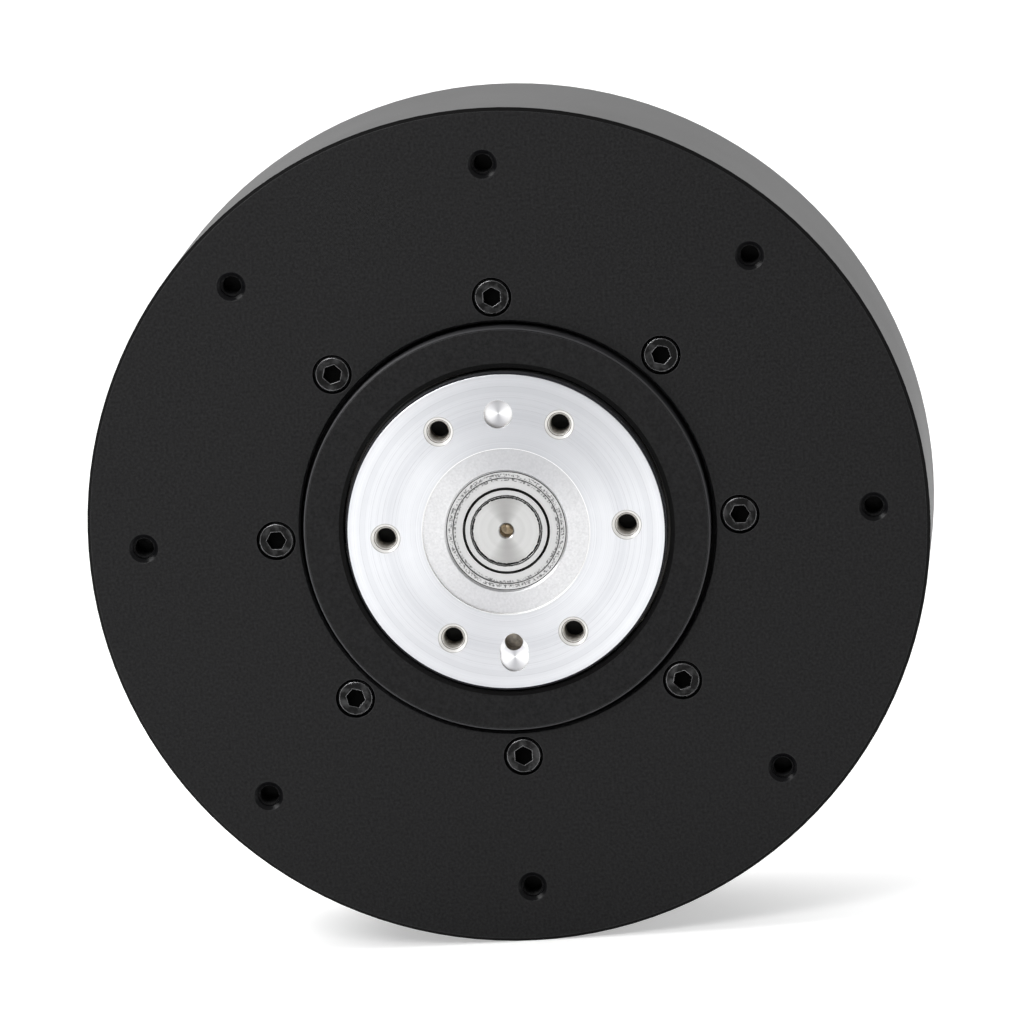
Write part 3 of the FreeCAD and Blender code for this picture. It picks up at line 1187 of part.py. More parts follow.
cover = new_body("rear_cover")
turned(cover, "shell", [
    ("Fit.cover_inner", "Fit.housing_back"),
    ("Fit.cover_radius", "Fit.housing_back"),
    ("Fit.cover_radius", "Fit.cover_rear - Size.cover_chamfer"),
    ("Fit.cover_radius - Size.cover_chamfer", "Fit.cover_rear"),
    ("0", "Fit.cover_rear"),
    ("0", "Fit.cover_inside"),
    ("Fit.cover_inner", "Fit.cover_inside"),
])
cover_boss = turned(cover, "boss", rod(
    "Size.cover_boss / 2", "Fit.housing_back", "Fit.cover_inside",
), False, "Fit.cover_boss_radius", "Size.cover_boss_angle")
boss_web = extruded(cover, "boss_web", [rectangle(
    "Fit.cover_boss_radius", "Fit.cover_inner + Size.cover_wall / 2",
    "-Size.cover_boss / 2", "Size.cover_boss / 2",
)], "Fit.housing_back", "Fit.cover_inside", False, "Size.cover_boss_angle")
cover_hole = turned(cover, "screw_hole", [
    ("0", "Fit.housing_back"),
    ("Size.board_screw / 2 + Size.hole_clearance", "Fit.housing_back"),
    ("Size.board_screw / 2 + Size.hole_clearance", "Fit.cover_inside"),
    ("Size.board_screw_head / 2 + Size.hole_clearance", "Fit.cover_inside"),
    ("Size.board_screw_head / 2 + Size.hole_clearance", "Fit.cover_rear"),
    ("0", "Fit.cover_rear"),
], True, "Fit.cover_boss_radius", "Size.cover_boss_angle")
around(cover, "Size.cover_screw_count", cover_boss, boss_web, cover_hole)
extruded(cover, "connector_window", [rectangle(
    "-Size.window_left", "Size.window_right",
    "-Fit.window_drop - Size.window_height / 2", "-Fit.window_drop + Size.window_height / 2",
)], "Fit.cover_inside", "Fit.cover_rear", True)

cover_screws = new_body("rear_cover_screws")
cover_screw = turned(cover_screws, "screw", [
    ("0", "Fit.rear_plate_front + Size.screw_end_gap"),
    ("Size.board_screw / 2", "Fit.rear_plate_front + Size.screw_end_gap"),
    ("Size.board_screw / 2", "Fit.cover_inside"),
    ("Size.board_screw_head / 2", "Fit.cover_inside"),
    ("Size.board_screw_head / 2", "Fit.cover_inside + Size.board_screw_height"),
    ("0", "Fit.cover_inside + Size.board_screw_height"),
], False, "Fit.cover_boss_radius", "Size.cover_boss_angle")
around(cover_screws, "Size.cover_screw_count", cover_screw)

# ---------------------------------------------------------------- checks and export

doc.recompute()
faults = [item.Name for item in doc.Objects if "Invalid" in item.State or "Error" in item.State]
pieces = [item for item in doc.Objects if item.TypeId in ("PartDesign::Body", "Part::Feature")]
for piece in pieces:
    if piece.Shape.isNull() or not piece.Shape.isValid() or piece.Shape.Volume <= 0:
        faults.append(piece.Label)
if faults:
    raise RuntimeError("these objects failed: " + ", ".join(sorted(set(faults))))
for piece in pieces:
    piece.Shape.exportStep(f"parts/{piece.Label}.step")
print(len(pieces), "pieces written")
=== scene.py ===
import bpy
import json
import math
from mathutils import Matrix, Vector


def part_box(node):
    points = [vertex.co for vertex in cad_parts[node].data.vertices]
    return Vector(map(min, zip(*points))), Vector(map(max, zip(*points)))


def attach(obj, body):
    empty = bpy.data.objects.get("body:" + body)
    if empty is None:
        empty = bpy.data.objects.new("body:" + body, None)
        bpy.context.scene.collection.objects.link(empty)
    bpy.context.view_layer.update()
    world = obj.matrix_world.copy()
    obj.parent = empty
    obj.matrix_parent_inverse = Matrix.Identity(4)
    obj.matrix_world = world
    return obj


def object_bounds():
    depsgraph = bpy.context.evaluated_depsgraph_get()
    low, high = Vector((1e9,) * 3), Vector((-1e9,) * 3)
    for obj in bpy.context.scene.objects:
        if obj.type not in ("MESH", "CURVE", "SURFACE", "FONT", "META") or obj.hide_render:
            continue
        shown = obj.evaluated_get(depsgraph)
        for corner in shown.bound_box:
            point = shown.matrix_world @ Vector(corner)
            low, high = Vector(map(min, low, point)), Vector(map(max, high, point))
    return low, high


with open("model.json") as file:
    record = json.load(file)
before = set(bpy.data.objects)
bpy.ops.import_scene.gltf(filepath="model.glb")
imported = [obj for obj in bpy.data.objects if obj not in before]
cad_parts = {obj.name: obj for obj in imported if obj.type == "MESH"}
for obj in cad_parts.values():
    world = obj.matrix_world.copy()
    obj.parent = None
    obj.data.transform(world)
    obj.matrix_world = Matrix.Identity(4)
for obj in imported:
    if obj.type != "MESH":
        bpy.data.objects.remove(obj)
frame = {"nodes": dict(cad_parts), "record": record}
cad_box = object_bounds()
scene = bpy.context.scene
scene.view_settings.view_transform = "Standard"

# ---------------------------------------------------------------- camera
# A long lens a metre in front of the output flange, a little above the axis and to the right,
# so that the front fills the view and the side wall just shows along the top and the right.
camera_data = bpy.data.cameras.new("camera")
camera_data.sensor_width = 36.0
camera_data.lens = 317.7
camera_data.clip_start = 0.05
camera_data.clip_end = 50.0
camera = bpy.data.objects.new("camera", camera_data)
right = Vector((0.9957, 0.0631, -0.0685)).normalized()
forward = Vector((-0.0731, 0.9850, -0.1564)).normalized()
up = right.cross(forward).normalized()
right = forward.cross(up)
pose = Matrix((right, up, -forward)).transposed().to_4x4()
pose.translation = Vector((0.0772, -1.0316, 0.1656))
camera.matrix_world = pose
scene.collection.objects.link(camera)
scene.camera = camera

# ---------------------------------------------------------------- studio
# A white table top under the rim, a bright even sky and four soft boxes: the main one in front at
# the upper left, one behind over the table, and one on each side for the walls and the edges.
table_size = 8.0
table_mesh = bpy.data.meshes.new("table_top")
table_mesh.from_pydata(
    [(-table_size, -table_size, 0), (table_size, -table_size, 0),
     (table_size, table_size, 0), (-table_size, table_size, 0)], [], [(0, 1, 2, 3)])
table_top = bpy.data.objects.new("table_top", table_mesh)
table_top.location.z = cad_box[0].z
scene.collection.objects.link(table_top)
table_paper = bpy.data.materials.new("table_paper")
table_paper.use_nodes = True
paper_shader = table_paper.node_tree.nodes["Principled BSDF"]
paper_shader.inputs["Base Color"].default_value = (0.80, 0.80, 0.80, 1)
paper_shader.inputs["Roughness"].default_value = 0.9
paper_shader.inputs["Specular IOR Level"].default_value = 0.1
paper_shader.inputs["Emission Color"].default_value = (1, 1, 1, 1)
paper_shader.inputs["Emission Strength"].default_value = 0.42
table_mesh.materials.append(table_paper)

# The sky is bright overhead and behind, and dim in front, where the dark room lies.
sky = bpy.data.worlds.new("sky")
sky.use_nodes = True
sky_nodes = sky.node_tree.nodes
sky_facing = sky_nodes.new("ShaderNodeSeparateXYZ")
sky_ramp = sky_nodes.new("ShaderNodeMapRange")
sky_ramp.inputs["From Min"].default_value = -1.0
sky_ramp.inputs["To Min"].default_value = 0.08
sky_ramp.inputs["To Max"].default_value = 1.3
sky.node_tree.links.new(
    sky_nodes.new("ShaderNodeTexCoord").outputs["Generated"], sky_facing.inputs[0])
sky.node_tree.links.new(sky_facing.outputs["Y"], sky_ramp.inputs["Value"])
sky.node_tree.links.new(
    sky_ramp.outputs["Result"], sky_nodes["Background"].inputs["Strength"])
sky_nodes["Background"].inputs["Color"].default_value = (1, 1, 1, 1)
scene.world = sky


def soft_box(name, place, target, width, height, watts):
    """A rectangular light at one place, turned to face another."""
    lamp = bpy.data.lights.new(name, "AREA")
    lamp.shape = "RECTANGLE"
    lamp.size = width
    lamp.size_y = height
    lamp.energy = watts
    holder = bpy.data.objects.new(name, lamp)
    holder.location = place
    holder.rotation_mode = "QUATERNION"
    aim = Vector(target) - Vector(place)
    holder.rotation_quaternion = aim.to_track_quat("-Z", "Y")
    scene.collection.objects.link(holder)


soft_box("main_box", (-0.13, -0.30, 0.20), (-0.03, 0, 0.03), 0.16, 0.16, 0.8)
soft_box("back_box", (0.0, 1.1, 1.3), (0.0, 0.9, 0), 2.4, 1.6, 10.0)
soft_box("left_box", (-0.42, -0.06, 0.42), (0, 0, 0), 0.26, 0.26, 1.6)
soft_box("right_box", (0.9, 0.35, 0.15), (0.05, 0, 0), 0.3, 0.6, 2.0)

# ---------------------------------------------------------------- front housing
# The cup that holds everything: front plate and side wall turned from one piece of aluminium,
# blasted very finely and anodised black. Its sharp edges are broken on the lathe.


def node_group(name, inputs, outputs):
    """An empty shader group with float inputs (name, value) and outputs (name, kind)."""
    tree = bpy.data.node_groups.new(name, "ShaderNodeTree")
    for label, value in inputs:
        tree.interface.new_socket(
            label, in_out="INPUT", socket_type="NodeSocketFloat").default_value = value
    for label, kind in outputs:
        tree.interface.new_socket(label, in_out="OUTPUT", socket_type="NodeSocket" + kind)
    tree.nodes.new("NodeGroupInput").name = "in"
    tree.nodes.new("NodeGroupOutput").name = "out"
    return tree


def add(tree, kind, **settings):
    """A node with its properties and, by socket name or number, its input values."""
    node = tree.nodes.new("ShaderNode" + kind)
    for key, value in settings.items():
        if key.startswith("in_"):
            label = key[3:].replace("_", " ")
            node.inputs[int(label) if label.isdigit() else label].default_value = value
        else:
            setattr(node, key, value)
    return node


def wire(tree, start, end):
    """Joins (node, output) to (node, input)."""
    tree.links.new(start[0].outputs[start[1]], end[0].inputs[end[1]])


# Blasted grain: a fine random pattern, with broad faint clouds under it.
blasted = node_group(
    "blasted_grain", [("Fineness", 9000.0), ("Clouds", 60.0)],
    [("Grain", "Float"), ("Cloud", "Float")])
place = add(blasted, "TexCoord")
fine = add(blasted, "TexNoise", in_Detail=2.0, in_Roughness=0.6)
broad = add(blasted, "TexNoise", in_Detail=3.0, in_Roughness=0.55)
for texture, scale, result in ((fine, "Fineness", "Grain"), (broad, "Clouds", "Cloud")):
    wire(blasted, (place, "Object"), (texture, "Vector"))
    wire(blasted, (blasted.nodes["in"], scale), (texture, "Scale"))
    wire(blasted, (texture, "Fac"), (blasted.nodes["out"], result))

# Edge wear: one on an edge within the given reach, nothing on a flat face.
worn_edge = node_group("worn_edge", [("Reach", 0.0002), ("Gain", 6.0)],
                       [("Mask", "Float"), ("Normal", "Vector")])
rounded = add(worn_edge, "Bevel", samples=4)
flat = add(worn_edge, "NewGeometry")
likeness = add(worn_edge, "VectorMath", operation="DOT_PRODUCT")
lost = add(worn_edge, "Math", operation="SUBTRACT", in_0=1.0)
gained = add(worn_edge, "Math", operation="MULTIPLY", use_clamp=True)
wire(worn_edge, (worn_edge.nodes["in"], "Reach"), (rounded, "Radius"))
wire(worn_edge, (rounded, "Normal"), (likeness, 0))
wire(worn_edge, (flat, "Normal"), (likeness, 1))
wire(worn_edge, (likeness, "Value"), (lost, 1))
wire(worn_edge, (lost, "Value"), (gained, 0))
wire(worn_edge, (worn_edge.nodes["in"], "Gain"), (gained, 1))
wire(worn_edge, (gained, "Value"), (worn_edge.nodes["out"], "Mask"))
wire(worn_edge, (rounded, "Normal"), (worn_edge.nodes["out"], "Normal"))


def new_material(name, **shader_values):
    """A material with its Principled shader; constants go straight on the shader's sockets."""
    material = bpy.data.materials.new(name)
    material.use_nodes = True
    shader = material.node_tree.nodes["Principled BSDF"]
    for label, value in shader_values.items():
        shader.inputs[label.replace("_", " ")].default_value = value
    return material, material.node_tree, shader


def use_group(tree, group, **values):
    """A group node in the tree, with its own input values."""
    node = tree.nodes.new("ShaderNodeGroup")
    node.node_tree = group
    for label, value in values.items():
        node.inputs[label.replace("_", " ")].default_value = value
    return node


def shades(tree, mask, under, over):
    """The colour `under` where the mask is nought and `over` where it is one. Each is a colour
    or the (node, output) that makes one."""
    node = add(tree, "Mix", data_type="RGBA")
    wire(tree, mask, (node, 0))
    sockets = [socket for socket in node.inputs if socket.type == "RGBA"]
    for socket, colour in zip(sockets, (under, over)):
        if isinstance(colour[0], float):
            socket.default_value = (*colour, 1)
        else:
            tree.links.new(colour[0].outputs[colour[1]], socket)
    return node, 2


def ranged(tree, source, low, high, start=0.0, end=1.0):
    """A value that runs from `low` to `high` as the source runs from `start` to `end`."""
    node = add(tree, "MapRange", in_1=start, in_2=end, in_3=low, in_4=high)
    wire(tree, source, (node, 0))
    return node, 0


def combined(tree, operation, first, second):
    """One sum of two sources, or of a source and a number."""
    node = add(tree, "Math", operation=operation)
    wire(tree, first, (node, 0))
    if isinstance(second, float):
        node.inputs[1].default_value = second
    else:
        wire(tree, second, (node, 1))
    return node, 0


def bumped(tree, shader, source, depth, under=None):
    """Feeds a height into the shader's normal, over the edge-rounded normal if there is one."""
    bump = add(tree, "Bump", in_Strength=1.0, in_Distance=depth)
    wire(tree, source, (bump, "Height"))
    if under:
        wire(tree, under, (bump, "Normal"))
    wire(tree, (bump, "Normal"), (shader, "Normal"))


# Deep places: one where a piece's own walls close round a spot and keep the light out, as in a
# hole or a slot; nothing on an open face.
deep_places = node_group("deep_places", [("Reach", 0.003)], [("Mask", "Float")])
hidden = add(deep_places, "AmbientOcclusion", samples=6, only_local=True)
hollow = add(deep_places, "MapRange", in_1=0.42, in_2=0.16)
wire(deep_places, (deep_places.nodes["in"], "Reach"), (hidden, "Distance"))
wire(deep_places, (hidden, "AO"), (hollow, 0))
wire(deep_places, (hollow, 0), (deep_places.nodes["out"], "Mask"))


def axes(tree):
    """The place on a piece in the part's own frame, split into X, Y and Z."""
    place = add(tree, "TexCoord")
    split = add(tree, "SeparateXYZ")
    wire(tree, (place, "Object"), (split, 0))
    return split


# Round an axis: the distance from a line along Y that stands at the given centre, and a
# two-lobed fan about it, the shape in which the sheen of a facing cut is painted.
round_axis = node_group(
    "round_axis", [("Centre X", 0.0), ("Centre Z", 0.0)], [("Radius", "Float"), ("Fan", "Float")])
split = axes(round_axis)
across, upward = (
    combined(round_axis, "SUBTRACT", (split, axis), (round_axis.nodes["in"], "Centre " + axis))
    for axis in ("X", "Z"))
squares = combined(
    round_axis, "ADD", combined(round_axis, "MULTIPLY", across, across),
    combined(round_axis, "MULTIPLY", upward, upward))
wire(round_axis, combined(round_axis, "SQRT", squares, 0.0), (round_axis.nodes["out"], "Radius"))
turn = combined(round_axis, "ARCTAN2", upward, across)
lobes = combined(round_axis, "COSINE", combined(round_axis, "MULTIPLY", turn, 2.0), 0.0)
wire(round_axis, ranged(round_axis, lobes, 0.0, 1.0, -1.0, 1.0), (round_axis.nodes["out"], "Fan"))


def at_radius(tree, radius, middle, reach):
    """One on a narrow ring about the axis, nothing elsewhere."""
    node = add(tree, "Math", operation="COMPARE", in_1=middle, in_2=reach)
    wire(tree, radius, (node, 0))
    return node, 0


def round_place(tree, centre, radius):
    """A round place about a line along Y: the node that measures it, and a mask that is one
    inside it and nothing outside."""
    axis = use_group(tree, round_axis, Centre_X=centre[0], Centre_Z=centre[1])
    return axis, combined(tree, "LESS_THAN", (axis, "Radius"), radius)


def black_anodised(name, dark, light, worn, rough, painted_highlight_rings=(), painted_shade_within=0.0, corner=None,
                   holes=(), mouth=0.0):
    """Black anodised aluminium: satin, finely speckled, a touch lighter on its edges. Its corners
    (radius, half width) in `painted_highlight_rings` carry a painted highlight. Painted shade
    makes it black inside `painted_shade_within`, on the `corner` (radius, level) of its front face
    and where its own walls close round a spot; the holes' mouths are smooth and painted black as
    shade."""
    material, tree, shader = new_material(name, Metallic=0.0, Specular_IOR_Level=0.16)
    grain = use_group(tree, blasted, Fineness=3200.0, Clouds=45.0)
    edge = use_group(tree, worn_edge, Reach=0.00012, Gain=4.0)
    deep = use_group(tree, deep_places, Reach=0.003)
    speckle = shades(tree, ranged(tree, (grain, "Grain"), 0.0, 1.0, 0.3, 0.7), dark, light)
    surface_colour = shades(tree, (edge, "Mask"), speckle, worn)
    centre = use_group(tree, round_axis)
    # Painted highlight: a lighter ring at each of these corners.
    for middle, reach in painted_highlight_rings:
        line = at_radius(tree, (centre, "Radius"), middle, reach)
        surface_colour = shades(tree, line, surface_colour, (0.050, 0.050, 0.053))
    gloss = ranged(tree, (grain, "Cloud"), rough - 0.04, rough + 0.04)
    # Painted shade: the mouth of each hole is painted near black.
    for hole in holes:
        _, where = round_place(tree, hole, mouth)
        surface_colour = shades(tree, where, surface_colour, (0.002, 0.002, 0.0025))
        gloss = combined(tree, "SUBTRACT", gloss, ranged(tree, where, 0.0, 0.14))
    # Painted shade: black inside the given radius, on the outer corner of the front face, and
    # where the piece's own walls close round a spot.
    painted_shade = combined(tree, "LESS_THAN", (centre, "Radius"), painted_shade_within)
    if corner:
        rim = combined(tree, "MULTIPLY",
                       combined(tree, "GREATER_THAN", (centre, "Radius"), corner[0]),
                       combined(tree, "LESS_THAN", (axes(tree), "Y"), corner[1]))
        painted_shade = combined(tree, "MAXIMUM", painted_shade, rim)
    painted_shade = combined(tree, "MAXIMUM", painted_shade, (deep, "Mask"))
    wire(tree, shades(tree, painted_shade, surface_colour, (0.001, 0.001, 0.001)), (shader, "Base Color"))
    wire(tree, combined(tree, "MAXIMUM", gloss, ranged(tree, painted_shade, 0.0, 0.9)),
         (shader, "Roughness"))
    bumped(tree, shader, (grain, "Grain"), 0.000012, (edge, "Normal"))
    return material


def smooth(node, angle=25.0):
    """Rounds the shading of a CAD piece's facets and keeps its real edges sharp."""
    piece = frame["nodes"][node]
    for face in piece.data.polygons:
        face.use_smooth = True
    weld = piece.modifiers.new("weld", "WELD")
    weld.merge_threshold = 0.000001
    split = piece.modifiers.new("sharp_edges", "EDGE_SPLIT")
    split.split_angle = math.radians(angle)
    return piece


def finish_piece(node, material, angle=25.0):
    """Smooths a CAD piece and gives it its finish."""
    piece = smooth(node, angle)
    for place in piece.material_slots:
        place.material = material
    return piece


def thread_ridges(name, body, finish, centres, bore, mouth, end):
    """The thread in a row of tapped holes: along each hole's wall runs one low ridge, wound as a
    helix from the level `mouth` to the level `end`."""
    pitch = 0.0005
    height = 0.00014
    steps = 20
    turns = int((end - mouth) / pitch)
    section = ((bore + height, -0.46 * pitch), (bore - height, 0.0), (bore + height, 0.46 * pitch))
    corners = []
    faces = []
    for centre in centres:
        first = len(corners)
        for step in range(turns * steps + 1):
            angle = 2 * math.pi * step / steps
            level = mouth + pitch * (step / steps + 0.5)
            for radius, offset in section:
                corners.append((centre[0] + radius * math.cos(angle), level + offset,
                                centre[1] + radius * math.sin(angle)))
        for step in range(turns * steps):
            here = first + 3 * step
            for side in range(3):
                along = (side + 1) % 3
                faces.append((here + side, here + along, here + 3 + along, here + 3 + side))
        last = first + 3 * turns * steps
        faces.append((first, first + 2, first + 1))
        faces.append((last, last + 1, last + 2))
    mesh = bpy.data.meshes.new(name)
    mesh.from_pydata(corners, [], faces)
    mesh.materials.append(finish)
    ridge = bpy.data.objects.new(name, mesh)
    scene.collection.objects.link(ridge)
    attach(ridge, body)
    return ridge


def ring_of_places(radius, count):
    """Centres (x, z) spread evenly round the output axis, the first one on +X."""
    return [(radius * math.cos(2 * math.pi * number / count),
             radius * math.sin(2 * math.pi * number / count)) for number in range(count)]


mounts = {mount["name"]: mount["dims"] for mount in frame["record"]["mounts"]}
rim_mount = mounts["housing_front_holes"]
rim_holes = ring_of_places(rim_mount["pcd_mm"] / 2000, rim_mount["count"])
thread_mouth = 0.00045
rim_thread_depth = 0.0040
plate_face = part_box("front_housing")[0].y
plate_corner = (0.04861, plate_face + 0.00041)
black_tones = ((0.0010, 0.0010, 0.0012), (0.0105, 0.0105, 0.0110), (0.055, 0.055, 0.057))
# The plate's outer front corner and the mouths of its rim holes are painted black as shade.
plate_black = black_anodised(
    "plate_black", *black_tones, 0.42, corner=plate_corner, holes=rim_holes, mouth=0.00171)
finish_piece("front_housing", plate_black)
housing_black = black_anodised("housing_black", *black_tones, 0.42)
housing_threads = thread_ridges(
    "housing_threads", "housing", housing_black, rim_holes, rim_mount["hole_r_mm"] / 1000,
    plate_face + thread_mouth, plate_face + rim_thread_depth)

# ---------------------------------------------------------------- gearbox housing
# A separate turned ring whose nose stands a little proud of the plate. It carries the main
# bearing, and behind the plate the ring gear and the stator. Same black finish, a shade duller.
# The nose carries a painted highlight ring on its outer chamfer, and its inner edge is painted
# black as shade.
nose_black = black_anodised(
    "nose_black", (0.0008, 0.0008, 0.0010), (0.0090, 0.0090, 0.0095),
    (0.075, 0.075, 0.078), 0.46, painted_highlight_rings=((0.02352, 0.00008),), painted_shade_within=0.0195)
finish_piece("gearbox_housing", nose_black)

# ---------------------------------------------------------------- gearbox screws
# Eight black oxide socket head screws, sunk in counterbores round the nose.


def oiled_screw(name, sunk_from=1.0):
    """Black oxide steel with an oily sheen, brighter where a key or a thumb has worn it. Past the
    level `sunk_from` it is the inside of a socket, painted black as shade."""
    material, tree, shader = new_material(name, Metallic=0.85)
    grain = use_group(tree, blasted, Fineness=5200.0, Clouds=900.0)
    edge = use_group(tree, worn_edge, Reach=0.00012, Gain=8.0)
    sunk = combined(tree, "GREATER_THAN", (axes(tree), "Y"), sunk_from)
    head = shades(tree, ranged(tree, (grain, "Cloud"), 0.0, 1.0, 0.45, 0.75),
                  (0.005, 0.005, 0.005), (0.050, 0.050, 0.051))
    surface_colour = shades(tree, (edge, "Mask"), head, (0.40, 0.40, 0.41))
    # Painted shade: the inside of the socket is painted black.
    wire(tree, shades(tree, sunk, surface_colour, (0.0005, 0.0005, 0.0005)), (shader, "Base Color"))
    gloss = ranged(tree, (grain, "Cloud"), 0.20, 0.42)
    wire(tree, combined(tree, "MAXIMUM", gloss, ranged(tree, sunk, 0.0, 0.8)),
         (shader, "Roughness"))
    bumped(tree, shader, (grain, "Grain"), 0.000010, (edge, "Normal"))
    return material


socket_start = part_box("gearbox_screws")[0].y + 0.0003
front_screw_black = oiled_screw("front_screw_black", sunk_from=socket_start)
finish_piece("gearbox_screws", front_screw_black)
screw_black = oiled_screw("screw_black")
for node in ("carrier_screws", "rotor_hub_screws", "rear_plate_screws",
             "board_screws", "rear_cover_screws"):
    finish_piece(node, screw_black)

# ---------------------------------------------------------------- output flange
# The bright flange that drives the next link: bare aluminium, faced on the lathe, so fine rings
# run round its axis and catch the light.

# Lathe rings: a fine height and a slower band of colour and gloss, both set by the distance from
# the output axis and the level alone.
lathe_rings = node_group(
    "lathe_rings", [("Rings per metre", 9000.0), ("Bands per metre", 900.0)],
    [("Height", "Float"), ("Band", "Float")])
split = axes(lathe_rings)
centre = use_group(lathe_rings, round_axis)
along = combined(lathe_rings, "ADD", (centre, "Radius"), (split, "Y"))
for label, result in (("Rings per metre", "Height"), ("Bands per metre", "Band")):
    noise = add(lathe_rings, "TexNoise", noise_dimensions="1D", in_Detail=2.0, in_Scale=1.0)
    wire(lathe_rings, combined(lathe_rings, "MULTIPLY", along, (lathe_rings.nodes["in"], label)),
         (noise, "W"))
    wire(lathe_rings, (noise, "Fac"), (lathe_rings.nodes["out"], result))


def turned_metal(name, dark, light, rough, depth, rings=9000.0, lines=(), ragged=()):
    """Bare metal from the lathe, its rings centred on the output axis. `lines` are narrow rings
    (radius, half width) painted dark as the shade where grooves and gaps lie, and `ragged` ones
    are darker in patches."""
    material, tree, shader = new_material(name, Metallic=1.0)
    marks = use_group(tree, lathe_rings, Rings_per_metre=rings, Bands_per_metre=900.0)
    centre = use_group(tree, round_axis)
    grain = use_group(tree, blasted, Fineness=4200.0, Clouds=1500.0)
    edge = use_group(tree, worn_edge, Reach=0.00010, Gain=3.0)
    tone = shades(tree, (marks, "Band"), dark, light)
    # Painted shade: each of these narrow rings is painted dark.
    for middle, reach in lines:
        tone = shades(tree, at_radius(tree, (centre, "Radius"), middle, reach), tone,
                      (0.020, 0.019, 0.018))
    for middle, reach in ragged:
        patch = combined(tree, "MULTIPLY", at_radius(tree, (centre, "Radius"), middle, reach),
                         ranged(tree, (grain, "Grain"), 0.0, 0.8, 0.46, 0.62))
        tone = shades(tree, patch, tone, (0.030, 0.030, 0.030))
    wire(tree, tone, (shader, "Base Color"))
    wire(tree, ranged(tree, (marks, "Band"), rough + 0.04, rough - 0.04), (shader, "Roughness"))
    bumped(tree, shader, (marks, "Height"), depth, (edge, "Normal"))
    return material


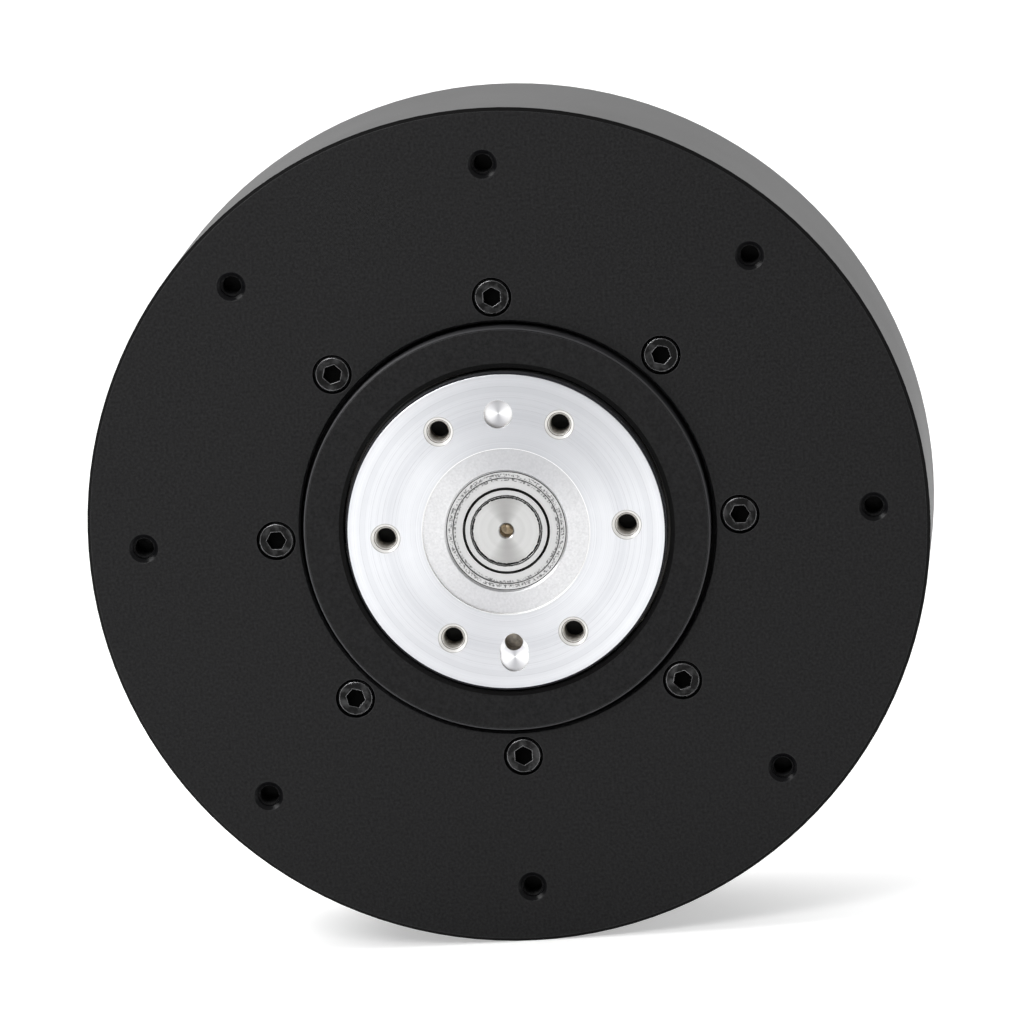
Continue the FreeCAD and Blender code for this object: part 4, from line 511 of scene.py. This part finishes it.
def flange_finish(name, holes):
    """The flange's own finish: fine arcs on its face, a duller speckled floor in the recess, a
    painted sheen that darkens face and floor in two lobes and most on the upper side, a painted
    highlight round the recess's edge, a painted bright fan of sheen in each shallow milled seat,
    bright countersinks, thin dark rings round each hole's mouth and bore, oil and painted shade on
    the holes' walls, painted shade deep in each hole, and painted shade on the outer corner."""
    recess = 0.0097
    seats = (0.01375, -0.0139, -0.0148)
    seat = 0.00165
    mouth = 0.00170
    bore = 0.00135
    core = 0.00121
    corner = 0.01838
    fan_lean = math.radians(15)
    corner_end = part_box("output_flange")[0].y + 0.0003
    material, tree, shader = new_material(name)
    marks = use_group(tree, lathe_rings, Rings_per_metre=7000.0, Bands_per_metre=520.0)
    centre = use_group(tree, round_axis)
    grain = use_group(tree, blasted, Fineness=4200.0, Clouds=900.0)
    edge = use_group(tree, worn_edge, Reach=0.00010, Gain=3.0)
    deep = use_group(tree, deep_places, Reach=0.0032)
    face = shades(tree, (marks, "Band"), (0.57, 0.58, 0.61), (0.82, 0.83, 0.85))
    streak = combined(tree, "MULTIPLY", ranged(tree, (marks, "Height"), 0.0, 0.6, 0.5, 0.8),
                      (grain, "Cloud"))
    face = shades(tree, streak, face, (0.38, 0.38, 0.41))
    split = axes(tree)
    inside = combined(tree, "LESS_THAN", (centre, "Radius"), recess)
    floor = shades(tree, (grain, "Grain"), (0.52, 0.52, 0.53), (0.80, 0.80, 0.81))
    tone = shades(tree, inside, face, floor)
    # Painted sheen: face and recess floor are darker in two lobes leaned by fan_lean, and darker
    # still on the upper side.
    lean = combined(tree, "ADD", combined(tree, "MULTIPLY", (split, "Z"), math.cos(fan_lean)),
                    combined(tree, "MULTIPLY", (split, "X"), math.sin(fan_lean)))
    rise = combined(tree, "DIVIDE", lean, (centre, "Radius"))
    both = combined(tree, "MULTIPLY", rise, rise)
    tone = shades(tree, ranged(tree, both, 0.0, 0.36, 0.2, 1.0), tone, (0.32, 0.32, 0.34))
    tone = shades(tree, ranged(tree, rise, 0.0, 0.22, 0.4, 1.0), tone, (0.30, 0.31, 0.33))
    # Painted highlight: a bright ring round the recess's edge.
    tone = shades(tree, at_radius(tree, (centre, "Radius"), recess, 0.00007), tone,
                  (0.86, 0.86, 0.86))
    # Painted sheen: a bright fan in each milled seat.
    for middle in seats:
        seat_axis, where = round_place(tree, (0.0, middle), seat)
        fan = shades(tree, (seat_axis, "Fan"), (0.44, 0.44, 0.46), (0.92, 0.92, 0.93))
        tone = shades(tree, where, tone, fan)
    tone = shades(tree, (edge, "Mask"), tone, (0.93, 0.93, 0.94))
    # Painted shade: the outer corner of the face is painted near black.
    outer = combined(tree, "MULTIPLY",
                     combined(tree, "GREATER_THAN", (centre, "Radius"), corner),
                     combined(tree, "LESS_THAN", (split, "Y"), corner_end))
    soft = outer
    bottoms = 0.0
    for hole in holes:
        hole_axis, where = round_place(tree, hole, mouth)
        soft = combined(tree, "MAXIMUM", soft, where)
        bottom = combined(tree, "LESS_THAN", (hole_axis, "Radius"), core)
        bottoms = combined(tree, "MAXIMUM", bottom, bottoms)
        tone = shades(tree, where, tone, (0.82, 0.81, 0.79))
        for line, grease in ((mouth, (0.36, 0.35, 0.34)), (bore, (0.13, 0.11, 0.09))):
            ring = at_radius(tree, (hole_axis, "Radius"), line, 0.00004)
            tone = shades(tree, ring, tone, grease)
    # Oil and painted shade: a darker brownish tone where the walls close round a spot.
    oil_and_painted_shade = shades(tree, ranged(tree, (grain, "Cloud"), 0.0, 1.0, 0.42, 0.62),
                  (0.30, 0.27, 0.23), (0.62, 0.57, 0.50))
    tone = shades(tree, (deep, "Mask"), tone, oil_and_painted_shade)
    # Painted shade: inside the core radius each hole is painted near black.
    tone = shades(tree, bottoms, tone, (0.008, 0.007, 0.006))
    wire(tree, shades(tree, outer, tone, (0.010, 0.010, 0.014)), (shader, "Base Color"))
    wire(tree, ranged(tree, soft, 1.0, 0.30), (shader, "Metallic"))
    gloss = combined(tree, "ADD", ranged(tree, (marks, "Band"), 0.38, 0.33),
                     ranged(tree, (deep, "Mask"), 0.0, 0.25))
    wire(tree, combined(tree, "ADD", gloss, ranged(tree, outer, 0.0, 0.5)),
         (shader, "Roughness"))
    bumped(tree, shader, (marks, "Height"), 0.0000020, (edge, "Normal"))
    return material


output_mount = mounts["output_holes"]
output_holes = ring_of_places(output_mount["pcd_mm"] / 2000, output_mount["count"])
flange_thread_depth = 0.0042
flange_bright = flange_finish("flange_bright", output_holes)
finish_piece("output_flange", flange_bright)
flange_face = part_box("output_flange")[0].y
cut_thread = turned_metal(
    "cut_thread", (0.42, 0.40, 0.37), (0.62, 0.60, 0.57), 0.30, 0.0000010)
flange_threads = thread_ridges(
    "flange_threads", "output", cut_thread, output_holes, output_mount["hole_r_mm"] / 1000,
    flange_face + thread_mouth, flange_face + flange_thread_depth)

# ---------------------------------------------------------------- output bearing
# A shielded ball bearing pressed into the flange. Its outer ring and front shield are satin and
# its inner ring is ground bright.


def satin_steel(name, dark, light, rough):
    """Pressed or tumbled steel: no lathe marks, a soft random grain."""
    material, tree, shader = new_material(name, Metallic=1.0)
    grain = use_group(tree, blasted, Fineness=6000.0, Clouds=500.0)
    edge = use_group(tree, worn_edge, Reach=0.0001, Gain=2.0)
    wire(tree, shades(tree, (grain, "Cloud"), dark, light), (shader, "Base Color"))
    wire(tree, ranged(tree, (grain, "Cloud"), rough - 0.05, rough + 0.05), (shader, "Roughness"))
    bumped(tree, shader, (grain, "Grain"), 0.000006, (edge, "Normal"))
    return material


outer_ring_steel = turned_metal(
    "outer_ring_steel", (0.45, 0.45, 0.45), (0.67, 0.67, 0.67), 0.34, 0.0000016, rings=14000.0,
    lines=((0.00620, 0.00005), (0.00692, 0.00005)), ragged=((0.00652, 0.00020),))
inner_ring_steel = turned_metal(
    "inner_ring_steel", (0.44, 0.44, 0.44), (0.58, 0.58, 0.58), 0.30, 0.0000010, rings=14000.0,
    lines=((0.00481, 0.00006), (0.00411, 0.00007)), ragged=((0.00408, 0.00014),))
shield_steel = turned_metal(
    "shield_steel", (0.46, 0.46, 0.46), (0.66, 0.66, 0.66), 0.40, 0.0000020, rings=5200.0,
    lines=((0.00501, 0.00006),), ragged=((0.00598, 0.00014),))
ball_steel = satin_steel("ball_steel", (0.68, 0.68, 0.69), (0.76, 0.76, 0.77), 0.12)
for end in ("output", "rear"):
    finish_piece(end + "_bearing_outer_ring", outer_ring_steel)
    finish_piece(end + "_bearing_inner_ring", inner_ring_steel)
    finish_piece(end + "_bearing_shields", shield_steel)
    finish_piece(end + "_bearing_balls", ball_steel, 15.0)

# ---------------------------------------------------------------- sun gear shaft
# Hardened steel: the pinion is cut on it, and its end is ground and centre-drilled. The end face
# carries the sweeping sheen of a facing cut, painted as two darker lobes, and dark patches stand
# round it.


def shaft_finish(name):
    """Ground steel with the sheen of a facing cut painted on its end in two darker lobes, dark
    patches at its rim, and a brassy film in the centre hole, painted lighter where the hole's
    walls close round it as painted light that lifts their shade."""
    rim = 0.0040
    hole = 0.00078
    material, tree, shader = new_material(name, Metallic=1.0)
    marks = use_group(tree, lathe_rings, Rings_per_metre=16000.0, Bands_per_metre=1500.0)
    centre = use_group(tree, round_axis)
    grain = use_group(tree, blasted, Fineness=4200.0, Clouds=1700.0)
    edge = use_group(tree, worn_edge, Reach=0.00008, Gain=2.5)
    deep = use_group(tree, deep_places, Reach=0.002)
    tone = shades(tree, (marks, "Band"), (0.46, 0.46, 0.455), (0.57, 0.57, 0.565))
    # Painted sheen: the end face is darker in two lobes, at top and bottom.
    fan = ranged(tree, (centre, "Fan"), 0.70, 0.0, 0.0, 0.4)
    tone = shades(tree, fan, tone, (0.26, 0.255, 0.25))
    patch = combined(tree, "MULTIPLY", at_radius(tree, (centre, "Radius"), rim, 0.00020),
                     ranged(tree, (grain, "Cloud"), 0.0, 1.0, 0.44, 0.50))
    tone = shades(tree, patch, tone, (0.012, 0.012, 0.012))
    inside = combined(tree, "LESS_THAN", (centre, "Radius"), hole)
    tone = shades(tree, inside, tone, (0.42, 0.385, 0.33))
    # Painted light: where the hole's walls close round a spot the colour is painted lighter,
    # lifting their shade.
    wire(tree, shades(tree, (deep, "Mask"), tone, (0.70, 0.63, 0.53)), (shader, "Base Color"))
    wire(tree, ranged(tree, (marks, "Band"), 0.32, 0.26), (shader, "Roughness"))
    bumped(tree, shader, (marks, "Height"), 0.0000012, (edge, "Normal"))
    return material


shaft_steel = shaft_finish("shaft_steel")
finish_piece("sun_gear_shaft", shaft_steel)

# ---------------------------------------------------------------- planetary gears and carrier
# Three planets on bronze bushes turn on hard pins between the two halves of the steel carrier,
# inside the ring gear. The gears carry an oily film.


def oiled_gear(name, dark, light):
    """Case-hardened gear steel, straw-grey, with a thin film of grease that pools in places."""
    material, tree, shader = new_material(name, Metallic=1.0, Coat_Roughness=0.15)
    grain = use_group(tree, blasted, Fineness=5000.0, Clouds=160.0)
    edge = use_group(tree, worn_edge, Reach=0.00008, Gain=2.5)
    wire(tree, shades(tree, (grain, "Cloud"), dark, light), (shader, "Base Color"))
    wire(tree, ranged(tree, (grain, "Cloud"), 0.30, 0.42), (shader, "Roughness"))
    wire(tree, ranged(tree, (grain, "Cloud"), 0.05, 0.45), (shader, "Coat Weight"))
    bumped(tree, shader, (grain, "Grain"), 0.000005, (edge, "Normal"))
    return material


gear_steel = oiled_gear("gear_steel", (0.34, 0.33, 0.31), (0.48, 0.47, 0.45))
for node in ("ring_gear", "planet_gear_1", "planet_gear_2", "planet_gear_3", "planet_pins"):
    finish_piece(node, gear_steel, 12.0)
bush_bronze = satin_steel("bush_bronze", (0.42, 0.25, 0.10), (0.58, 0.38, 0.18), 0.42)
for node in ("planet_bush_1", "planet_bush_2", "planet_bush_3"):
    finish_piece(node, bush_bronze)
carrier_steel = turned_metal(
    "carrier_steel", (0.40, 0.40, 0.41), (0.54, 0.54, 0.55), 0.34, 0.0000030, rings=5000.0)
for node in ("carrier_front_plate", "carrier_rear_plate"):
    finish_piece(node, carrier_steel)

# ---------------------------------------------------------------- main bearing
# A crossed roller bearing: ground rings, rollers that lie one way and the other by turns, and
# nylon spacers between them, held in by a phosphated retaining ring. In the gap round the flange
# the rings carry painted shade.
flange_gap = (0.0188, 0.0008)
main_ring_steel = turned_metal(
    "main_ring_steel", (0.58, 0.58, 0.60), (0.70, 0.70, 0.72), 0.20, 0.0000010, rings=14000.0,
    lines=(flange_gap,))
for node in ("main_bearing_outer_ring", "main_bearing_inner_ring"):
    finish_piece(node, main_ring_steel)
finish_piece("main_bearing_rollers", ball_steel, 35.0)


def moulded_plastic(name, dark, light, rough, depth=0.000010):
    """Injection moulding: an even colour, a faint orange-peel skin, softened edges."""
    material, tree, shader = new_material(name, Metallic=0.0, Specular_IOR_Level=0.5)
    grain = use_group(tree, blasted, Fineness=2600.0, Clouds=220.0)
    edge = use_group(tree, worn_edge, Reach=0.00015, Gain=2.0)
    wire(tree, shades(tree, (grain, "Cloud"), dark, light), (shader, "Base Color"))
    wire(tree, ranged(tree, (grain, "Cloud"), rough - 0.05, rough + 0.05), (shader, "Roughness"))
    bumped(tree, shader, (grain, "Grain"), depth, (edge, "Normal"))
    return material


spacer_nylon = moulded_plastic("spacer_nylon", (0.70, 0.67, 0.58), (0.80, 0.77, 0.68), 0.45)
finish_piece("main_bearing_spacers", spacer_nylon)
clip_steel = satin_steel("clip_steel", (0.045, 0.045, 0.048), (0.080, 0.080, 0.084), 0.50)
finish_piece("bearing_retaining_ring", clip_steel)

# ---------------------------------------------------------------- stator
# A stack of thin electrical steel sheets with a coil of enamelled copper wire on every tooth,
# and three sleeved leads that go back to the driver board.

# Stacked layers: fine lines square to the output axis, as sheets or turns of wire make.
stacked = node_group("stacked_layers", [("Layers per metre", 2000.0)],
                     [("Height", "Float"), ("Tone", "Float")])
split = axes(stacked)
count = add(stacked, "Math", operation="MULTIPLY")
phase = add(stacked, "Math", operation="FRACT")
peak = add(stacked, "Math", operation="PINGPONG", in_1=0.5)
whole = add(stacked, "Math", operation="FLOOR")
tone = add(stacked, "TexWhiteNoise", noise_dimensions="1D")
wire(stacked, (split, "Y"), (count, 0))
wire(stacked, (stacked.nodes["in"], "Layers per metre"), (count, 1))
wire(stacked, (count, 0), (phase, 0))
wire(stacked, (phase, 0), (peak, 0))
wire(stacked, (peak, 0), (stacked.nodes["out"], "Height"))
wire(stacked, (count, 0), (whole, 0))
wire(stacked, (whole, 0), (tone, "W"))
wire(stacked, (tone, "Value"), (stacked.nodes["out"], "Tone"))


def layered(name, metallic, dark, light, rough, layers, depth):
    """Anything built of layers along the axis: laminations, or turns of enamelled wire."""
    material, tree, shader = new_material(name, Metallic=metallic, Coat_Roughness=0.2)
    layer = use_group(tree, stacked, Layers_per_metre=layers)
    grain = use_group(tree, blasted, Fineness=4000.0, Clouds=300.0)
    wire(tree, shades(tree, (layer, "Tone"), dark, light), (shader, "Base Color"))
    wire(tree, ranged(tree, (grain, "Cloud"), rough - 0.06, rough + 0.06), (shader, "Roughness"))
    bumped(tree, shader, (layer, "Height"), depth)
    return material


lamination_steel = layered(
    "lamination_steel", 1.0, (0.17, 0.17, 0.19), (0.27, 0.27, 0.29), 0.45, 2900.0, 0.00003)
finish_piece("stator_core", lamination_steel)
enamelled_copper = layered(
    "enamelled_copper", 0.9, (0.55, 0.20, 0.075), (0.72, 0.30, 0.12), 0.30, 2200.0, 0.00012)
finish_piece("stator_windings", enamelled_copper)
lead_sleeve = moulded_plastic("lead_sleeve", (0.020, 0.020, 0.021), (0.034, 0.034, 0.035), 0.55)
finish_piece("phase_leads", lead_sleeve, 50.0)

# ---------------------------------------------------------------- rotor
# A turned aluminium disc carries a zinc-plated steel ring with nickel-plated magnets inside it.
# A small magnet on the shaft's rear end tells the driver board where the rotor stands.
hub_aluminium = turned_metal(
    "hub_aluminium", (0.66, 0.66, 0.67), (0.78, 0.78, 0.79), 0.34, 0.0000030, rings=4000.0)
finish_piece("rotor_hub", hub_aluminium)
zinc_plate = satin_steel("zinc_plate", (0.38, 0.40, 0.42), (0.52, 0.54, 0.55), 0.36)
finish_piece("rotor_ring", zinc_plate)
nickel_plate = satin_steel("nickel_plate", (0.58, 0.56, 0.52), (0.70, 0.68, 0.63), 0.22)
for node in ("rotor_magnets", "encoder_magnet"):
    finish_piece(node, nickel_plate)

# ---------------------------------------------------------------- motor rear plate
# Closes the motor and carries the shaft's rear bearing in its boss. Anodised like the housing.
finish_piece("motor_rear_plate", housing_black)

# ---------------------------------------------------------------- driver board
# A round four-layer board on brass standoffs: encoder chip in front, controller, transistors and
# capacitors behind, and its connectors at the lower edge.


def solder_mask(name):
    """Green lacquer over copper: the copper areas show through as a lighter green pattern."""
    material, tree, shader = new_material(name, Metallic=0.0, Coat_Roughness=0.12)
    where = add(tree, "TexCoord")
    cells = add(tree, "TexVoronoi", in_Scale=420.0, feature="DISTANCE_TO_EDGE",
                distance="CHEBYCHEV")
    cut = add(tree, "MapRange", in_1=0.03, in_2=0.05)
    grain = use_group(tree, blasted, Fineness=3500.0, Clouds=120.0)
    wire(tree, (where, "Object"), (cells, "Vector"))
    wire(tree, (cells, "Distance"), (cut, 0))
    green = shades(tree, (cut, 0), (0.006, 0.035, 0.018), (0.012, 0.075, 0.036))
    wire(tree, green, (shader, "Base Color"))
    wire(tree, ranged(tree, (grain, "Cloud"), 0.28, 0.40), (shader, "Roughness"))
    wire(tree, ranged(tree, (grain, "Cloud"), 0.3, 0.6), (shader, "Coat Weight"))
    bumped(tree, shader, (cut, 0), 0.00002)
    return material


board_green = solder_mask("board_green")
finish_piece("driver_board", board_green)
package_black = moulded_plastic("package_black", (0.014, 0.014, 0.015), (0.024, 0.024, 0.026), 0.5)
for node in ("encoder_chip", "controller_chip", "power_transistors"):
    finish_piece(node, package_black)
ceramic_tan = moulded_plastic("ceramic_tan", (0.24, 0.16, 0.09), (0.32, 0.22, 0.13), 0.4)
finish_piece("bus_capacitors", ceramic_tan)
standoff_brass = satin_steel("standoff_brass", (0.52, 0.36, 0.12), (0.68, 0.50, 0.20), 0.30)
finish_piece("board_standoffs", standoff_brass)
finish_piece("power_pins", standoff_brass)
power_yellow = moulded_plastic("power_yellow", (0.62, 0.38, 0.02), (0.72, 0.46, 0.03), 0.32)
finish_piece("power_connector", power_yellow)
socket_white = moulded_plastic("socket_white", (0.66, 0.64, 0.57), (0.76, 0.74, 0.67), 0.40)
for node in ("signal_socket_1", "signal_socket_2"):
    finish_piece(node, socket_white)

# ---------------------------------------------------------------- rear cover
# A shallow aluminium cap over the driver board, with a window for the connectors.
finish_piece("rear_cover", housing_black)
